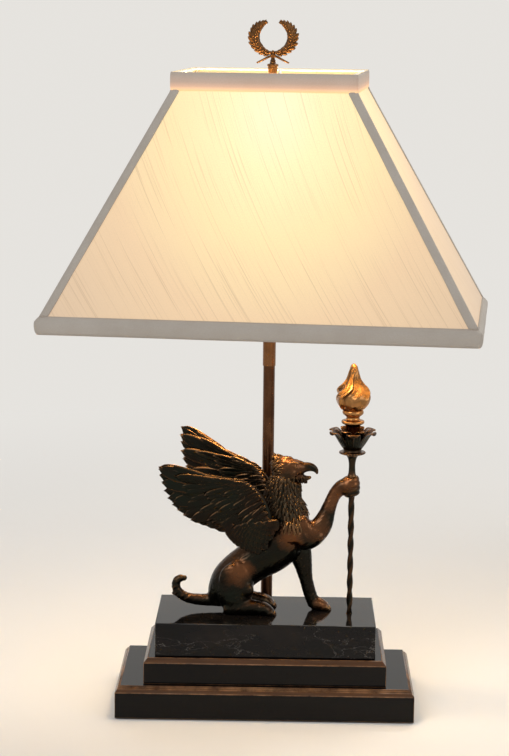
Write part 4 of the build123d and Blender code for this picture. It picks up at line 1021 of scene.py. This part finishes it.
torchValues = {
    "axis": (91, -45),        # mm, in plan
    "stem": {"low": 97.5, "high": 278, "turns": 9, "oval": 0.5, "knots": 0.5, "rows": 260, "columns": 20,
             "radii": [3, 2.9, 3, 2.9, 3, 3, 3.1, 3.2, 3.4, 3.6, 3.5, 3.7]},
    "collar": [(4.6, 277.5), (7.5, 278.6), (11.2, 279.3), (13.7, 280.2), (14.2, 281.2), (13.5, 282.2), (10.4, 282.7),
               (9.8, 284.4)],
    # count, first angle, ring, height and radius
    "collarBeads": (26, 0, 13.3, 281.1, 1.15), "tipBeads": (6, -90, 24.9, 304, 1.5),
    "cup": {"base": 284, "profile": [(9.2, 0.2), (11.4, 3), (14, 6.8), (16.4, 10.8), (18.6, 14.6), (21, 18),
                                       (23.8, 20.4), (25.9, 20.2), (26.1, 18.2)],
            "short": 0.36, "wall": 1.7, "start": 90, "rib": 1.5, "sharp": 0.95, "rows": 30, "columns": 192},
    "sepals": {"base": 285.5, "profile": [(7.6, 0.2), (9.4, 5), (11.4, 10), (13.2, 14.6), (15.2, 18.4),
                                          (17.6, 20.9), (19.2, 20.2)],
               "short": 0.45, "wall": 1.3, "start": 60, "rib": 1, "sharp": 0.8, "rows": 24, "columns": 192},
    "foot": [(6.9, 286), (6.9, 303), (7.4, 308.5), (8.6, 311.4), (11.9, 313.4), (12.4, 314.9), (11.8, 316.3),
             (8.2, 317.4), (7.2, 319), (7.7, 320.8), (10.7, 323.2), (11.5, 325.4), (10.8, 327.4), (8.8, 328.6)],
    "flame": {"profile": [(9, 326.5), (14.4, 329.6), (19.4, 334.6), (21.8, 341), (20.6, 346.6), (16.6, 351.8),
                          (11.4, 356.4), (7.8, 361), (6.1, 366), (5.4, 371), (4.2, 375.4), (0.9, 378.2)],
              "tongues": 4, "twist": 165, "rows": 120, "columns": 160},
}


def turnedMesh(rows, columns, radiusAndHeight, axis=torchValues["axis"]):
    # a closed body round an upright axis, in mm; the function takes the share of the rows and the angle
    points = []
    for i in range(rows + 1):
        for c in range(columns):
            a = 2 * pi * c / columns
            r, z = radiusAndHeight(i / rows, a)
            points.append(((axis[0] + r * cos(a)) / 1000, (axis[1] + r * sin(a)) / 1000, z / 1000))
    return barMesh("turned", points, rows + 1, columns)


def stemAt(t, a):
    # an oval bar that turns as it rises, with a few soft knots like a stick
    values = torchValues["stem"]
    z = values["low"] + (values["high"] - values["low"]) * t
    thick = alongPath([(r,) for r in values["radii"]], t)[0]
    knot = values["knots"] * noise.noise(Vector((2, 5, z * 0.09)))
    knot += 1.3 * exp(-((z - 254.5) / 2.6) ** 2) + 3.2 * exp(-(278 - z) / 3.2)
    oval = values["oval"] * (1 if t < 0.85 else 0.3)
    return thick + knot + oval * cos(2 * (a - pi * values["turns"] * t)), z


def cupMesh(values):
    # a bowl cut into leaves: the path is followed to its end only at each leaf's middle
    rows, path = values["rows"], values["profile"]

    def cupAt(step, a):
        row = round(step * (2 * rows + 1))
        layer = int(row > rows)        # the inner face comes second, from the lip down
        share = 1 - (row - rows - 1) / rows if layer else row / rows
        leaf = abs(cos(3 * (a + radians(values["start"]))))
        t = share * (values["short"] + (1 - values["short"]) * leaf ** values["sharp"])
        radius, z = alongPath(path, t)
        (r1, z1), (r2, z2) = alongPath(path, max(0, t - 0.01)), alongPath(path, t + 0.01)
        run = hypot(r2 - r1, z2 - z1) or 1
        if layer:
            lift = values["wall"] * (1 - 0.6 * share)
        else:
            rib = values["rib"] * exp(-((1 - leaf) / 0.012)) * share
            lift = -(rib + 0.22 * sin(leaf * 16) * share * (1 - share * 0.4))
        return radius - (z2 - z1) / run * lift, values["base"] + (z + (r2 - r1) / run * lift)

    return turnedMesh(2 * rows + 1, values["columns"], cupAt)


def flameAt(t, a):
    # tongues wound round one bulb; each rises slowly across its width and drops at its edge
    values = torchValues["flame"]
    radius, z = alongPath(values["profile"], t)
    wind = radians(values["twist"]) * (t + 0.1 * sin(2 * pi * t) + 0.05 * sin(5 * pi * t))
    u = (values["tongues"] * (a - wind) / (2 * pi)) % 1
    edge = u ** 1.5 * min(1, (1 - u) * 12)
    lobe = 0.74 + 0.29 * edge + 0.028 * sin(pi * u) * cos(13 * u)
    return radius * lobe * (1 + 0.12 * u ** 3 * exp(-((t - 0.66) / 0.13) ** 2)), z


def beadMeshes(places):
    # small round beads at (x, y, z, radius) in mm
    work = bmesh.new()
    for x, y, z, r in places:
        place = Matrix.Translation((x / 1000, y / 1000, z / 1000))
        bmesh.ops.create_icosphere(work, subdivisions=2, radius=r / 1000, matrix=place)
    return closeMesh(work, "beads")


def beadRing(count, first, ring, height, radius):
    x, y = torchValues["axis"]
    turns = [radians(first + 360 * k / count) for k in range(count)]
    return beadMeshes([(x + ring * cos(a), y + ring * sin(a), height, radius) for a in turns])


def makeTorch():
    values = torchValues
    stem, flame = (turnedMesh(values[name]["rows"], values[name]["columns"], shape)
                   for name, shape in (("stem", stemAt), ("flame", flameAt)))
    disc = turnedMesh(60, 72, lambda t, a: alongPath(values["collar"], t))
    foot = turnedMesh(80, 72, lambda t, a: alongPath(values["foot"], t))
    cup = [cupMesh(values["cup"]), cupMesh(values["sepals"]), beadRing(*values["tipBeads"])]
    joined("torchStick", [stem], "torchBronze", "base", "torch_stem")
    joined("torchDisc", [disc, beadRing(*values["collarBeads"])], "torchBronze", "base", "torch_collar")
    joined("leafCup", cup, "torchBronze", "base", "torch_cup")
    joined("flame", [foot, flame], "flameBrass", "base", "torch_flame")


wreathValues = {
    "centre": 0.72025, "halfWidth": 0.019, "halfHeight": 0.0172, "stations": 13, "from": -80, "sweep": 134,
    "leaf": (0.011, 0.0016, 0.0046), "splays": ((-31, 0.9), (2, 0), (31, -0.9)), "berry": 1.15,
    "knot": [(-3.3, -0.6, 2.6, 1.8), (0, -0.9, 3, 2), (3.3, -0.6, 2.6, 1.8), (0, -0.6, 0, 2.5)],
    "tail": [(-1.5, -18.6, 1.3), (4, -20.4, 1.3), (11, -24, 1.15), (17.2, -27, 0.9)],
    "foot": [(2.6, 694.45), (3.1, 695.4), (2.4, 696.6), (2, 698.6), (2.7, 700.6), (2.9, 701.8), (1.2, 703.2)],
}


def wreathPlaces(face):
    wide, tall, (length, thick, width) = wreathValues["halfWidth"], wreathValues["halfHeight"], wreathValues["leaf"]
    places = []
    for side in (-1, 1):
        for station in range(wreathValues["stations"]):
            share = station / (wreathValues["stations"] - 1)
            angle = radians(wreathValues["from"] + wreathValues["sweep"] * share)
            heading = atan2(tall * cos(angle), -wide * sin(angle))
            size = 0.4 + 0.72 * sin(pi * (0.12 + 0.82 * share))
            for splay, lean in wreathValues["splays"]:
                way = heading + radians(splay * (1 - 0.45 * share * share))
                way = way if side > 0 else pi - way
                spot = (side * wide * cos(angle), face * 0.0003 * (1 + (splay == 2)),
                        wreathValues["centre"] + tall * sin(angle))
                places.append((spot, (0.35 * lean * side, -way, 0), (length * size, thick, width * size)))
    return places


def makeWreath(leaves):
    first, sweep = wreathValues["from"], wreathValues["sweep"]
    centre, wide, tall = (wreathValues[k] * 1000 for k in ("centre", "halfWidth", "halfHeight"))
    low = centre - deck * 1000
    parts = [layShapes(wreathPlaces(face), leaf, "wreathBrass", 0.05, seed)
             for face, leaf, seed in zip((-1, 1), leaves, (31, 32))]
    beads = [(x, y, centre - 18.4 + z, r) for x, y, z, r in wreathValues["knot"]]
    for side in (-1, 1):
        turns = [radians(first - 8 + (sweep + 12) * k / 12) for k in range(13)]
        line = [(side * wide * cos(a), low + tall * sin(a), 1.25 - 0.06 * k) for k, a in enumerate(turns)]
        tail = [(side * x, low + z, r) for x, z, r in wreathValues["tail"]]
        parts += [tubeAlong(line, 4, 10, 1), tubeAlong(tail, 6, 10, 1)]
        for k in (1, 3, 5, 7, 9):
            a = radians(first + sweep * (k + 0.5) / 12)
            beads += [(side * wide * out * cos(a), -1.7, centre + tall * out * sin(a), wreathValues["berry"])
                      for out in (0.9, 1.12)]
    parts.append(beadMeshes(beads))
    parts.append(turnedMesh(24, 32, lambda t, a: alongPath(wreathValues["foot"], t), axis=(0, 0)))
    joined("laurelWreath", parts, "wreathBrass", "finial", "wreath")


# for each tier: piece, finish, slot and how far its edges are eased
tierValues = {"plinth": ("plinthTier", "ebonisedWood", "ebonised_wood", 0.0006),
              "riser": ("riserTier", "ebonisedWood", "ebonised_wood", 0.0006),
              "marble_block": ("marbleTier", "blackMarble", "marble", 0.0007)}


def easedTier(node, name, finish, slot, width):
    # a merged copy whose edges are rounded; the rounded strips carry an attribute that marks them for brown that is
    # partly worn wood and partly painted highlight
    work = meshCopy(node)
    bmesh.ops.dissolve_limit(work, angle_limit=radians(1.5), verts=work.verts, edges=work.edges)
    layer = work.faces.layers.float.new("wearAndGlint")        # before the bevel, or its faces are lost
    sharp = [edge for edge in work.edges if len(edge.link_faces) == 2 and edge.calc_face_angle(0) > radians(24)
             and edge.calc_length() > 0.02]
    strips = bmesh.ops.bevel(work, geom=sharp, offset=width, segments=3, profile=0.5, affect="EDGES",
                             clamp_overlap=True)
    for face in work.faces:
        face.smooth = False
    for face in strips["faces"]:
        face[layer] = 1
        face.smooth = True
    bmesh.ops.triangulate(work, faces=work.faces)
    dress(name, closeMesh(work, name), finish, "base", node, smooth=False)


# one shape for each face of a wing and of the wreath
feathers = [vaneShape("feather", 16, 8, 7, side, point=3.2) for side in (-1, 1)]
leaves = [vaneShape("leaf", 10, 6, 3, side, point=1.7, bend=0.1, ridge=0.45) for side in (-1, 1)]
tuft, claw = vaneShape("neckTuft", 7, 4, 3, -1, point=1.5, bend=0), clawShape()
makeWings(feathers)
makeGriffin(tuft, claw)
print("griffin")
makeTorch()
print("torch")
makeWreath(leaves)
print("wreath")
for node, values in tierValues.items():
    easedTier(node, *values)
print("tiers")

for shape in (*feathers, *leaves, tuft, claw):
    bpy.data.objects.remove(shape)
